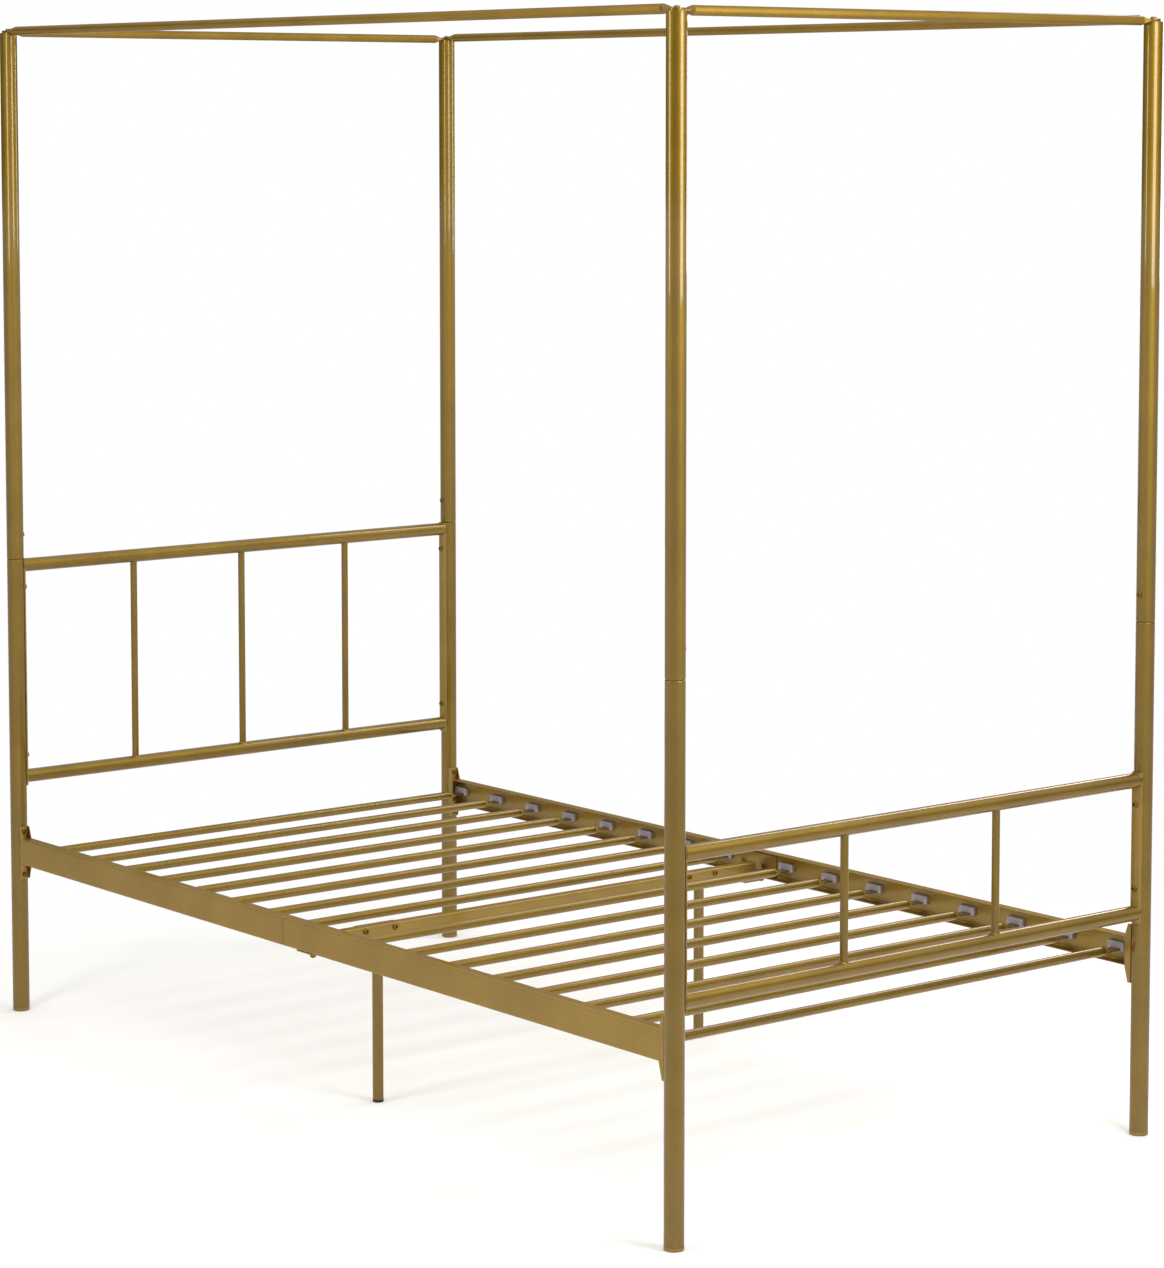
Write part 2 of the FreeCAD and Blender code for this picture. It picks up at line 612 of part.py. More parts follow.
def end_bracket(label, outer):
    """Saddle on a post with two tapering flanges; the rail leaves toward local +X."""
    body = new_body(label)
    tube(body, "XY_Plane", SADDLE_OUT, "saddle_wall", "bracket_height", both_ways=True)
    out = signed(outer, "rail_out")
    back = signed(outer, "(rail_out - rail_depth)")
    far = "post_dia"
    low, high = (back, out) if outer > 0 else (out, back)
    trim = new_sketch(body, "XY_Plane")
    outline(trim, [("-" + far, "-" + far), (far, "-" + far), (far, low), ("0", low),
                   ("0", high), (far, high), (far, far), ("-" + far, far)])
    pocket(body, trim, "bracket_height", both_ways=True)

    # Each flange starts inside the saddle's wall, at the depth that its own side reaches.
    for edge, inner in ((out, "-bracket_flange"), (back, "+bracket_flange")):
        inside = edge + (inner if outer > 0 else inner.translate(str.maketrans("+-", "-+")))
        start = "sqrt((%s + saddle_wall / 2) ^ 2 - (%s) ^ 2)" % (SADDLE_IN, edge)
        flange = new_sketch(body, "XY_Plane")
        outline(flange, [(start, edge), (BRACKET_REACH, edge), (BRACKET_REACH, inside),
                         (start, inside)])
        extrude(body, flange, "bracket_height", both_ways=True)

    taper = new_sketch(body, "XZ_Plane")
    beyond = BRACKET_REACH + " + 1"
    shoulder = SADDLE_OUT + " + bracket_shoulder"
    for sign in (1, -1):
        tall = signed(sign, "(bracket_height / 2)")
        short = "bracket_drop " + ("+ rail_height / 2" if sign > 0 else "- rail_height / 2")
        outline(taper, [(shoulder, tall), (BRACKET_REACH, short),
                        (beyond, short), (beyond, tall)])
    pocket(body, taper, "2 * post_dia", both_ways=True)

    holes = new_sketch(body, "YZ_Plane")
    reach = "(bracket_height / 2 - bracket_bolt_inset)"
    circle(holes, BORE, "0", reach)
    circle(holes, BORE, "0", "-" + reach)
    pocket(body, holes, far, back=True)
    return body


def joiner(label, side):
    """Angle plate inside both halves of a side rail, across their seam."""
    body = new_body(label)
    floor = "rail_low + rail_wall"
    top = "rail_low + rail_height - rail_wall - joiner_top_gap"
    head_end = "slat_beam_head - holder_length / 2 - joiner_gap"
    angle = new_sketch(body, "XZ_Plane", "-(%s)" % head_end)
    outline(angle, [(signed(side, across), up) for across, up in (
        (WEB_IN, floor), (WEB_IN, top), ("(%s - joiner_wall)" % WEB_IN, top),
        ("(%s - joiner_wall)" % WEB_IN, floor + " + joiner_wall"),
        ("(%s - joiner_width)" % WEB_IN, floor + " + joiner_wall"),
        ("(%s - joiner_width)" % WEB_IN, floor))])
    extrude(body, angle, "%s - rail_seam + joiner_foot" % head_end)
    screws = new_sketch(body, "YZ_Plane")
    for reach in ("joiner_screw_1", "joiner_screw_2"):
        circle(screws, BORE, "rail_seam - " + reach, SCREW_RISE)
    pocket(body, screws, "2 * " + WEB_OUT, both_ways=True)
    drop = new_sketch(body, "XY_Plane")
    circle(drop, BORE, signed(side, "(spacing_x / 2 - beam_bolt_in)"), "beam_bolt_y")
    pocket(body, drop, RAIL_MID, back=True)
    return place(body)


for name, side in (("left", -1), ("right", 1)):
    label = "side_rail_" + name
    pieces.append(side_rail(label + "_head", side, "rail_seam", RAIL_END, holes=False))
    pieces.append(side_rail(label + "_foot", side, "-" + RAIL_END, "rail_seam", holes=True))

plus_bracket = end_bracket("end_bracket_a", 1)
minus_bracket = end_bracket("end_bracket_b", -1)
brackets = []
for corner, side, end in CORNERS:
    link = doc.addObject("App::Link", "rail_end_bracket_" + corner)
    link.LinkedObject = plus_bracket if side * end > 0 else minus_bracket
    link.LinkTransform = False
    brackets.append(place(link, signed(side, HALF_X), signed(end, HALF_Y), BRACKET_MID, -90 * end))
pieces.append(gather("rail_end_brackets", brackets))
pieces.append(gather("rail_joiners", [joiner("joiner_left", -1), joiner("joiner_right", 1)]))

joiner_screw = bolt("joiner_screw", "bolt_dia", "head_dia", "screw_head_rise",
                    "joiner_wall + rail_wall - 2 * screw_tip_gap")
pieces.append(copies("joiner_screws", joiner_screw, [
    dict(across=signed(side, "(%s - joiner_wall)" % WEB_IN), along="rail_seam - " + reach,
         rise=SCREW_RISE, turn=180 if side > 0 else 0)
    for side in (-1, 1) for reach in ("joiner_screw_1", "joiner_screw_2")]))


# ---------------------------------------------------------------- centre beam and its legs

beam = new_body("centre_beam")
section = new_sketch(beam, "YZ_Plane")
for inset in ("0", "beam_wall"):
    reach = "(beam_width / 2 - %s)" % inset
    outline(section, box_corners("-" + reach, reach, "%s + %s" % (BEAM_LOW, inset),
                                 "%s + beam_height - %s" % (BEAM_LOW, inset)))
extrude(beam, section, "2 * " + BEAM_END, both_ways=True)

# An end plate is welded under each end, and steps up to lie against the side rail's underside.
for side in (-1, 1):
    seat = new_sketch(beam, "XZ_Plane")
    step = "(%s + seat_step)" % BEAM_END
    outline(seat, [(signed(side, across), up) for across, up in (
        ("(%s - seat_length)" % BEAM_END, BEAM_LOW + " - seat_wall"),
        (step, BEAM_LOW + " - seat_wall"),
        ("(%s + seat_wall)" % step, BEAM_LOW),
        ("(%s - rail_wall)" % WEB_OUT, BEAM_LOW),
        ("(%s - rail_wall)" % WEB_OUT, "rail_low"),
        (step, "rail_low"),
        ("(%s - seat_wall)" % step, BEAM_LOW),
        ("(%s - seat_length)" % BEAM_END, BEAM_LOW))])
    extrude(beam, seat, "seat_width", both_ways=True)
seat_holes = new_sketch(beam, "XY_Plane")
for side in (-1, 1):
    circle(seat_holes, BORE, signed(side, "(spacing_x / 2 - beam_bolt_in)"), "beam_bolt_y")
pocket(beam, seat_holes, "rail_low", back=True)
leg_holes = new_sketch(beam, "XZ_Plane")
for side in (-1, 1):
    for sign in (" - ", " + "):
        circle(leg_holes, BORE, signed(side, LEG_X) + sign + "leg_bolt_pitch / 2", LEG_BOLT_RISE)
pocket(beam, leg_holes, "2 * beam_width", both_ways=True)
pieces.append(place(beam))

hex_nut = new_body("hex_nut")
hexagon = new_sketch(hex_nut, "YZ_Plane")
flat = "(hex_flats / 2)"
point = "(hex_flats / sqrt(3))"
outline(hexagon, [(point, "0"), (point + " / 2", flat), ("-" + point + " / 2", flat),
                  ("-" + point, "0"), ("-" + point + " / 2", "-" + flat), (point + " / 2", "-" + flat)])
circle(hexagon, "bolt_dia / 2 + thread_gap")
extrude(hex_nut, hexagon, "hex_length", back=True)

beam_bolt = bolt("beam_bolt", "bolt_dia", "head_dia", "head_rise",
                 "joiner_wall + rail_wall + seat_wall + hex_length + bolt_dia / 4")
beam_bolt_spots = [
    dict(across=signed(side, "(spacing_x / 2 - beam_bolt_in)"), along="beam_bolt_y",
         turn=-90, axis=(0, 1, 0)) for side in (-1, 1)]
pieces.append(copies("beam_bolts", beam_bolt, [
    dict(spot, rise="rail_low + rail_wall + joiner_wall") for spot in beam_bolt_spots]))

leg_plate_low = "%s - leg_plate_wall" % BEAM_LOW
for name, side in (("left", -1), ("right", 1)):
    leg = new_body("support_leg_" + name)
    tube(leg, "XY_Plane", "leg_dia / 2", "leg_wall", "%s - leg_cap_flange" % leg_plate_low,
         offset="leg_cap_flange")
    angle = new_sketch(leg, "YZ_Plane")
    back = "(beam_width / 2)"
    outline(angle, [("-" + back, leg_plate_low), (back + " + leg_plate_wall", leg_plate_low),
                    (back + " + leg_plate_wall", BEAM_LOW + " + beam_height"),
                    (back, BEAM_LOW + " + beam_height"), (back, BEAM_LOW), ("-" + back, BEAM_LOW)])
    extrude(leg, angle, "leg_plate_length", both_ways=True)
    holes = new_sketch(leg, "XZ_Plane")
    for sign in ("", "-"):
        circle(holes, BORE, sign + "leg_bolt_pitch / 2", LEG_BOLT_RISE)
    pocket(leg, holes, "2 * beam_width")
    pieces.append(place(leg, across=signed(side, LEG_X)))

leg_cap = plug("leg_cap", "leg_dia / 2", "leg_cap_flange", "leg_dia / 2 - leg_wall - slip_gap",
               "leg_cap_stem")
pieces.append(copies("leg_caps", leg_cap, [dict(across=signed(side, LEG_X)) for side in (-1, 1)]))

leg_bolt = bolt("leg_bolt", "bolt_dia", "head_dia", "head_rise",
                "beam_width + leg_plate_wall + hex_length + bolt_dia / 4")
leg_bolt_spots = [
    dict(across=signed(side, LEG_X) + sign + "leg_bolt_pitch / 2", rise=LEG_BOLT_RISE, turn=-90)
    for side in (-1, 1) for sign in (" - ", " + ")]
pieces.append(copies("leg_bolts", leg_bolt, [
    dict(spot, along="-beam_width / 2") for spot in leg_bolt_spots]))
pieces.append(copies("beam_nuts", hex_nut, [
    dict(spot, along="beam_width / 2 + leg_plate_wall") for spot in leg_bolt_spots] + [
    dict(spot, rise=BEAM_LOW) for spot in beam_bolt_spots]))


# ---------------------------------------------------------------- bolts and nuts in the posts

frame_bolt = bolt("frame_bolt", "bolt_dia", "head_dia", "head_rise", "bolt_length")
post_nut = new_body("post_nut")
tube(post_nut, "YZ_Plane", "nut_dia / 2", "(nut_dia / 2 - bolt_dia / 2 - thread_gap)", "nut_length",
     offset="-nut_length")
nut_seat = "sqrt(%s ^ 2 - (nut_dia / 2) ^ 2)" % POST_BORE


def post_spots(reach):
    """Where the boards and the rail brackets are bolted, at a distance from the post axis."""
    spots = []
    for _, side, end in CORNERS:
        low, top = BOARDS[0][2:4] if end > 0 else BOARDS[1][2:4]
        for rise in (low + " + board_bolt_inset", top + " - board_bolt_inset"):
            spots.append(dict(across=signed(side, "(spacing_x / 2 - %s)" % reach),
                              along=signed(end, HALF_Y), rise=rise, turn=0 if side < 0 else 180))
        for sign in ("+", "-"):
            rise = "%s %s (bracket_height / 2 - bracket_bolt_inset)" % (BRACKET_MID, sign)
            spots.append(dict(across=signed(side, HALF_X), rise=rise, turn=-90 * end,
                              along=signed(end, "(spacing_y / 2 - %s)" % reach)))
    return spots


pieces.append(copies("frame_bolts", frame_bolt, post_spots(SADDLE_OUT)))
pieces.append(copies("post_nuts", post_nut, post_spots(nut_seat)))


# ---------------------------------------------------------------- check and write

doc.recompute()
for item in doc.Objects:
    if "Invalid" in item.State or "Error" in item.State:
        raise RuntimeError("%s did not build: %s" % (item.Label, item.State))
    if item.TypeId == "PartDesign::Pocket":
        removed = item.BaseFeature.Shape.Volume - item.Shape.Volume
        if removed < 1:
            raise RuntimeError("%s cuts nothing" % item.Label)

os.makedirs("parts", exist_ok=True)
for piece in pieces:
    if piece.Shape.isNull() or not piece.Shape.isValid():
        raise RuntimeError("%s has no valid shape" % piece.Label)
    piece.Shape.exportStep("parts/%s.step" % piece.Label)
print("%d pieces, %d solids" % (len(pieces), sum(len(piece.Shape.Solids) for piece in pieces)))
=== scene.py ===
"""Four poster canopy bed of gold powder coated steel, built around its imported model.

Metres throughout: +X across the bed, +Y from the foot to the head, +Z up from the floor.
"""

import math

import bpy
import numpy as np
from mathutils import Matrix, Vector


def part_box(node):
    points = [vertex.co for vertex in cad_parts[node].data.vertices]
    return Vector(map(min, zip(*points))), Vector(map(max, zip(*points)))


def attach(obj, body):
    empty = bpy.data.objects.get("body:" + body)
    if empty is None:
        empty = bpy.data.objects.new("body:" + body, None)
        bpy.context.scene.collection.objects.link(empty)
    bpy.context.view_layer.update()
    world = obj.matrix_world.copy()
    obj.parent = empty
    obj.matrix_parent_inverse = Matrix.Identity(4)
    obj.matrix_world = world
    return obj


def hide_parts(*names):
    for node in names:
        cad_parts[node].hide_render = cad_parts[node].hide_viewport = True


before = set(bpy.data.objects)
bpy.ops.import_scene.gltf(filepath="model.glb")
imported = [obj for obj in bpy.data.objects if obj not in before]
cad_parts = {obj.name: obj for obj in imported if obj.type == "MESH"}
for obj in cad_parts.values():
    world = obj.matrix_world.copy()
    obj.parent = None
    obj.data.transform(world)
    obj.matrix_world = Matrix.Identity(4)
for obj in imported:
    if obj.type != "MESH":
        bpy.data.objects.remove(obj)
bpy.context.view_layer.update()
MM = 0.001


# ---------------------------------------------------------------- studio and camera
# A white sweep of floor with three upright soft boxes round the bed's upper half. The camera
# stands off the bed's left foot corner, 1.7 m up, and looks along the bed.

CAMERA_PLACE = (-4.0441, -5.1508, 1.7054)
CAMERA_HEADING = math.radians(38.738)
CAMERA_DIP = math.radians(5.069)
CAMERA_LENS = 105.54
CAMERA_SHIFT = -0.15
FLOOR_HALF = 60
SWEEP_START = 0.9
SWEEP_END = 1.9
SOFT_BOXES = [
    # name, place, aimed at, width, height, power
    ("foot_box", (0.12, -2.45, 2.45), (0.1, 0.0, 2.35), 1.0, 2.2, 52),
    ("left_box", (-2.15, -0.10, 2.45), (0.0, 0.0, 2.35), 0.5, 2.2, 26),
    ("right_box", (2.15, 0.00, 2.45), (0.0, 0.0, 2.35), 0.5, 2.2, 24),
]


def linear(code):
    """Scene colour of an sRGB hex value: (c + 0.055) / 1.055 to the power 2.4, or c / 12.92 when dark."""
    parts = [int(code[i:i + 2], 16) / 255 for i in (1, 3, 5)]
    return [c / 12.92 if c <= 0.04045 else ((c + 0.055) / 1.055) ** 2.4 for c in parts] + [1.0]


def node(tree, kind, settings=None, links=None):
    """Add one shader node. settings holds properties and fixed inputs, and links what feeds inputs."""
    made = tree.nodes.new("ShaderNode" + kind)
    for key, value in (settings or {}).items():
        if hasattr(made, str(key)):
            setattr(made, key, value)
        else:
            made.inputs[key].default_value = value
    for key, source in (links or {}).items():
        tree.links.new(source, made.inputs[key])
    return made


camera = bpy.data.objects.new("camera", bpy.data.cameras.new("camera"))
bpy.context.scene.collection.objects.link(camera)
camera.data.lens = CAMERA_LENS
camera.data.shift_y = CAMERA_SHIFT
camera.data.clip_end = FLOOR_HALF
camera.location = CAMERA_PLACE
gaze = Vector((math.sin(CAMERA_HEADING) * math.cos(CAMERA_DIP),
               math.cos(CAMERA_HEADING) * math.cos(CAMERA_DIP), -math.sin(CAMERA_DIP)))
camera.rotation_mode = "QUATERNION"
camera.rotation_quaternion = gaze.to_track_quat("-Z", "Y")
bpy.context.scene.camera = camera
bpy.context.scene.view_settings.view_transform = "Standard"

# The camera sees a white room. The bed is lit by one that is dim at the horizon and bright above.
world = bpy.data.worlds.new("studio")
world.use_nodes = True
bpy.context.scene.world = world
sky = world.node_tree
sky.nodes.clear()
rays = node(sky, "LightPath")
seen = node(sky, "Background", {"Color": linear("#FFFFFF"), "Strength": 1.0})
height = node(sky, "SeparateXYZ", None, {0: node(sky, "TexCoord").outputs["Generated"]})
glow = node(sky, "MapRange", {"From Min": 0.08, "From Max": 0.60, "To Min": 0.12, "To Max": 1.0},
            {"Value": height.outputs["Z"]})
felt = node(sky, "Background", {"Color": linear("#FBFAF8")}, {"Strength": glow.outputs[0]})
backdrop = node(sky, "MixShader", None,
                {0: rays.outputs["Is Camera Ray"], 1: felt.outputs[0], 2: seen.outputs[0]})
node(sky, "OutputWorld", None, {"Surface": backdrop.outputs[0]})

# The floor is matt white paint near the bed, and runs out into the white of the sweep.
floor_mesh = bpy.data.meshes.new("studio_floor")
floor_mesh.from_pydata([(x * FLOOR_HALF, y * FLOOR_HALF, 0)
                        for x, y in ((-1, -1), (1, -1), (1, 1), (-1, 1))], [], [(0, 1, 2, 3)])
studio_floor = bpy.data.objects.new("studio_floor", floor_mesh)
bpy.context.scene.collection.objects.link(studio_floor)
studio_paint = bpy.data.materials.new("matt_white_studio_paint")
studio_paint.use_nodes = True
sweep = studio_paint.node_tree
matt = sweep.nodes["Principled BSDF"]
matt.inputs["Base Color"].default_value = linear("#FAF9F7")
matt.inputs["Roughness"].default_value = 0.95
matt.inputs["Specular IOR Level"].default_value = 0.05
from_bed = node(sweep, "VectorMath", {"operation": "LENGTH"},
                {0: node(sweep, "TexCoord").outputs["Object"]})
fade = node(sweep, "MapRange", {"interpolation_type": "SMOOTHSTEP", "From Min": SWEEP_START,
                                 "From Max": SWEEP_END}, {"Value": from_bed.outputs["Value"]})
hidden = node(sweep, "Math", {"operation": "MULTIPLY"},
              {0: fade.outputs[0], 1: node(sweep, "LightPath").outputs["Is Camera Ray"]})
white = node(sweep, "Emission", {"Color": linear("#FFFFFF"), "Strength": 1.0})
blend = node(sweep, "MixShader", None, {0: hidden.outputs[0], 1: matt.outputs[0], 2: white.outputs[0]})
sweep.links.new(blend.outputs[0], sweep.nodes["Material Output"].inputs["Surface"])
floor_mesh.materials.append(studio_paint)

for name, place, target, width, height, power in SOFT_BOXES:
    lamp = bpy.data.lights.new(name, "AREA")
    lamp.shape = "RECTANGLE"
    lamp.size = width
    lamp.size_y = height
    lamp.energy = power
    lamp_object = bpy.data.objects.new(name, lamp)
    bpy.context.scene.collection.objects.link(lamp_object)
    lamp_object.visible_camera = False
    lamp_object.location = place
    lamp_object.rotation_mode = "QUATERNION"
    lamp_object.rotation_quaternion = (Vector(target) - Vector(place)).to_track_quat("-Z", "Y")


# ---------------------------------------------------------------- posts
# Four welded steel tubes of 1 1/4 inch, each in two halves. The lower half ends in a swaged
# spigot that the upper half slips over, and both rims are rolled, so the joint is a fine groove.

def skin(rings, loop=False):
    """A closed surface through a stack of rings, as points and faces.

    rings[i, j] is point j of ring i. Quads join (i, j) to (i + 1, j + 1) going round each ring. With
    loop, the last ring joins the first; otherwise each end closes on the mean of its ring. The sum of
    a . (b x c) over the triangles is six times the volume, and the faces are turned over if it is negative.
    """
    count, around = rings.shape[:2]
    points = rings.reshape(-1, 3)
    i = np.arange(count if loop else count - 1)[:, None]
    j = np.arange(around)[None, :]
    below, above = i * around, (i + 1) % count * around
    after = (j + 1) % around
    quads = np.stack([below + j, below + after, above + after, above + j], axis=-1).reshape(-1, 4)
    fans = np.empty((0, 3), int)
    if not loop:
        points = np.concatenate([points, rings[0].mean(0)[None], rings[-1].mean(0)[None]])
        first, last = len(points) - 2, len(points) - 1
        j, after = j[0], after[0]
        top = (count - 1) * around
        fans = np.concatenate([
            np.stack([after, j, np.full(around, first)], axis=-1),
            np.stack([top + j, top + after, np.full(around, last)], axis=-1)])
    triangles = np.concatenate([quads[:, [0, 1, 2]], quads[:, [0, 2, 3]], fans])
    a, b, c = (points[triangles[:, k]] for k in range(3))
    if np.einsum("ij,ij->", a, np.cross(b, c)) < 0:
        quads, fans = quads[:, ::-1], fans[:, ::-1]
    return points, quads, fans


def piece(name, skins, material, slot, *stands_for):
    """One mesh of several closed skins, which rides on the bed and stands for CAD nodes."""
    points = np.concatenate([part[0] for part in skins])
    faces, start = [], 0
    for part in skins:
        faces += (part[1] + start).tolist() + (part[2] + start).tolist()
        start += len(part[0])
    mesh = bpy.data.meshes.new(name)
    mesh.from_pydata(points.tolist(), [], faces)
    mesh.polygons.foreach_set("use_smooth", np.ones(len(faces), bool))
    mesh.set_sharp_from_angle(angle=math.radians(38))
    mesh.materials.append(material)
    made = bpy.data.objects.new(name, mesh)
    bpy.context.scene.collection.objects.link(made)
    shading = made.modifiers.new("normals_follow_wide_faces", "WEIGHTED_NORMAL")
    shading.keep_sharp = True
    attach(made, "root")
    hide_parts(*stands_for)


def extent(label):
    """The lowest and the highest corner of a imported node's box."""
    low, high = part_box(label)
    return np.array(low), np.array(high)


def middle(label):
    """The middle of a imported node's box."""
    return sum(extent(label)) / 2


def moved(points, to=(0, 0, 0), across=(1, 0, 0), along=(0, 1, 0), up=(0, 0, 1)):
    """points in the bed's frame: their x, y and z run in the three given directions from a point."""
    return points @ np.array([across, along, up], float) + np.array(to, float)


def rounded(corners, radius, steps=5, closed=False):
    """A line of straight runs whose corners are arcs, all in one plane.

    At corner P, with unit vectors a and b along its two runs and the angle f between them, the arc's
    centre is P + (a + b) / |a + b| * radius / sin(f / 2), and the arc starts radius / tan(f / 2) from P.
    """
    corners = np.array(corners, float)
    total = len(corners)
    radii = np.broadcast_to(radius, total)
    line = []
    for k, corner in enumerate(corners):
        if not closed and k in (0, total - 1) or radii[k] == 0:
            line.append(corner[None])
            continue
        a = corners[k - 1] - corner
        b = corners[(k + 1) % total] - corner
        a, b = a / np.linalg.norm(a), b / np.linalg.norm(b)
        half = math.acos(np.clip(a @ b, -1, 1)) / 2
        centre = corner + (a + b) / np.linalg.norm(a + b) * radii[k] / math.sin(half)
        first = corner + a * radii[k] / math.tan(half) - centre
        last = corner + b * radii[k] / math.tan(half) - centre
        turn = math.pi - 2 * half
        t = np.linspace(0, 1, steps)[:, None]
        bend = (np.sin((1 - t) * turn) * first + np.sin(t * turn) * last) / math.sin(turn)
        line.append(centre + bend)
    return np.concatenate(line)


def full_turn(steps):
    """Angles that go once round in equal steps."""
    return np.linspace(0, 2 * math.pi, steps, endpoint=False)


def turned(radii, heights):
    """Rings about Z: (r cos a, r sin a, z), with radii[i, j] the radius of ring i at its angle j."""
    angle = full_turn(radii.shape[1])
    return np.stack([radii * np.cos(angle), radii * np.sin(angle), heights[:, None] + 0 * angle], axis=-1)


def lathe(profile, around=64):
    """Rings of a turned shape, round at each point (radius, height) of the profile."""
    return turned(np.repeat(profile[:, :1], around, axis=1), profile[:, 1])


def new_material(name):
    """A new material with its tree, its surface shader, and coordinates that stay with the object."""
    material = bpy.data.materials.new(name)
    material.use_nodes = True
    tree = material.node_tree
    return material, tree, tree.nodes["Principled BSDF"], node(tree, "TexCoord").outputs["Object"]


def noise(tree, place, size, detail):
    """Noise whose blots are about size across."""
    return node(tree, "TexNoise", {"Scale": 1 / size, "Detail": detail}, {"Vector": place}).outputs["Fac"]


def two_tone(tree, factor, deep, shade, spread):
    """The deep colour up to a factor of 0.5 - spread, the shade from 0.5 + spread, and a ramp between."""
    ramp = node(tree, "ValToRGB", None, {"Fac": factor})
    for stop, place, colour in zip(ramp.color_ramp.elements, (0.5 - spread, 0.5 + spread), (deep, shade)):
        stop.position = place
        stop.color = linear(colour)
    return ramp.outputs["Color"]


def roughen(tree, surface, factor, low, high):
    """Let the surface's roughness go from low to high with the factor."""
    level = node(tree, "MapRange", {"To Min": low, "To Max": high}, {"Value": factor})
    tree.links.new(level.outputs[0], surface.inputs["Roughness"])


def emboss(tree, surface, height, strength, depth, *inputs):
    """Raise the surface by a height from 0 to 1, at most depth, through the named normal inputs."""
    bump = node(tree, "Bump", {"Strength": strength, "Distance": depth}, {"Height": height})
    for name in inputs:
        tree.links.new(bump.outputs[0], surface.inputs[name])


CLOUD = 90 * MM
FLAKE = 1.3 * MM
FLAKE_CONTRAST = 0.11
PATCH = 7 * MM
EDGE_REACH = 0.9 * MM
EDGE_WEAR_AND_HIGHLIGHT = 0.35


def powder_coat(name, shade, deep, bright, gloss=0.56, clear=1.0, peel=2.6 * MM):
    """Metallic powder coat: mica flakes in a clear polyester, sprayed and baked on bare steel.

    Fine flakes make the colour shimmer between two golds, and the coat flows into a faint orange peel.
    The coat is thinner on sharp edges, where a paler gold shows, and that paler gold is also a painted
    highlight along every edge. gloss is the mean roughness of the flakes, clear how much of the
    polyester's own shine there is, and peel the size of the orange peel.
    """
    material, tree, paint, place = new_material(name)

    # Clouds come from the spray passes. The flakes are drawn larger than life, so that they show.
    clouds = noise(tree, place, CLOUD, 3.0)
    flakes = node(tree, "TexVoronoi", {"Scale": 1 / FLAKE}, {"Vector": place})
    flake_tilt = node(tree, "SeparateColor", None, {"Color": flakes.outputs["Color"]})
    flake_light = node(tree, "MapRange", {"To Min": -FLAKE_CONTRAST, "To Max": FLAKE_CONTRAST},
                       {"Value": flake_tilt.outputs[0]})
    tone = node(tree, "Math", {"operation": "ADD"}, {0: clouds, 1: flake_light.outputs[0]})
    body = two_tone(tree, tone.outputs[0], deep, shade, 0.25)

    # At a sharp edge the true normal and one that is smoothed over a millimetre part company.
    soft_normal = node(tree, "Bevel", {"samples": 4, "Radius": EDGE_REACH})
    match = node(tree, "VectorMath", {"operation": "DOT_PRODUCT"},
                 {0: soft_normal.outputs[0], 1: node(tree, "NewGeometry").outputs["Normal"]})
    edge = node(tree, "MapRange", {"From Min": 0.985, "From Max": 0.86, "To Max": EDGE_WEAR_AND_HIGHLIGHT},
                {"Value": match.outputs["Value"]})
    patches = noise(tree, place, PATCH, 2.0)
    # Edges are painted a paler gold: partly the coat worn thinner there, partly a painted highlight along
    # every edge.
    worn_and_highlit_edges = node(tree, "Math", {"operation": "MULTIPLY"}, {0: edge.outputs[0], 1: patches})
    colour = node(tree, "Mix", {"data_type": "RGBA", 7: linear(bright)}, {0: worn_and_highlit_edges.outputs[0], 6: body})
    tree.links.new(colour.outputs[2], paint.inputs["Base Color"])

    roughen(tree, paint, patches, gloss - 0.05, gloss + 0.06)
    emboss(tree, paint, noise(tree, place, peel, 1.0), 0.08, 0.05 * MM, "Normal", "Coat Normal")
    paint.inputs["Metallic"].default_value = 1.0
    paint.inputs["Specular Tint"].default_value = linear("#A88430")
    paint.inputs["Coat Weight"].default_value = clear
    paint.inputs["Coat Roughness"].default_value = 0.06
    return material


tube_gold = powder_coat("gold_powder_coat_on_tube", "#8D7120", "#7F6418", "#A98A42")

SIDES = {"left": -1, "right": 1}
ENDS = {"head": 1, "foot": -1}
corners = [(end, side) for end in ENDS for side in SIDES]
RIM = 2.0 * MM
SQUARE_RIM = 0.3 * MM

post_axes = {}
for end, side in corners:
    post_axes[end, side] = middle("lower_post_%s_%s" % (end, side)) * [1, 1, 0]
    for half in ("lower", "upper"):
        label = "%s_post_%s_%s" % (half, end, side)
        low, high = extent(label)
        post_radius = (high[0] - low[0]) / 2
        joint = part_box("upper_post_%s_%s" % (end, side))[0][2]
        bottom, top = (low[2], joint) if half == "lower" else (joint, high[2])
        neck = 0.6 * post_radius
        roll = (SQUARE_RIM, RIM) if half == "lower" else (RIM, SQUARE_RIM)
        outline = rounded([(neck, bottom), (post_radius, bottom), (post_radius, top), (neck, top)],
                          (0,) + roll + (0,))
        rings = moved(lathe(outline), middle(label) * [1, 1, 0])
        piece(label.replace("post", "post_tube"), [skin(rings)], tube_gold, "gold_paint", label)


# ---------------------------------------------------------------- foot caps
# A gold nylon plug pressed into each post's foot. Its rim is as wide as the tube, and
# it is moulded with a rounded edge so that it slides on a floor.

def moulded_plastic(name, shade, deep, roughness, grain):
    """Injection moulded plastic: an even colour, dull scuffs, and a fine grain from the mould."""
    material, tree, plastic, place = new_material(name)
    flow = noise(tree, place, 14 * MM, 3.0)
    tree.links.new(two_tone(tree, flow, deep, shade, 0.2), plastic.inputs["Base Color"])
    roughen(tree, plastic, flow, roughness - 0.06, roughness + 0.10)
    emboss(tree, plastic, noise(tree, place, grain, 2.0), 0.35, 0.05 * MM, "Normal")
    plastic.inputs["IOR"].default_value = 1.5
    return material


gold_nylon = moulded_plastic("gold_moulded_nylon", "#937634", "#86692B", 0.42, 0.9 * MM)

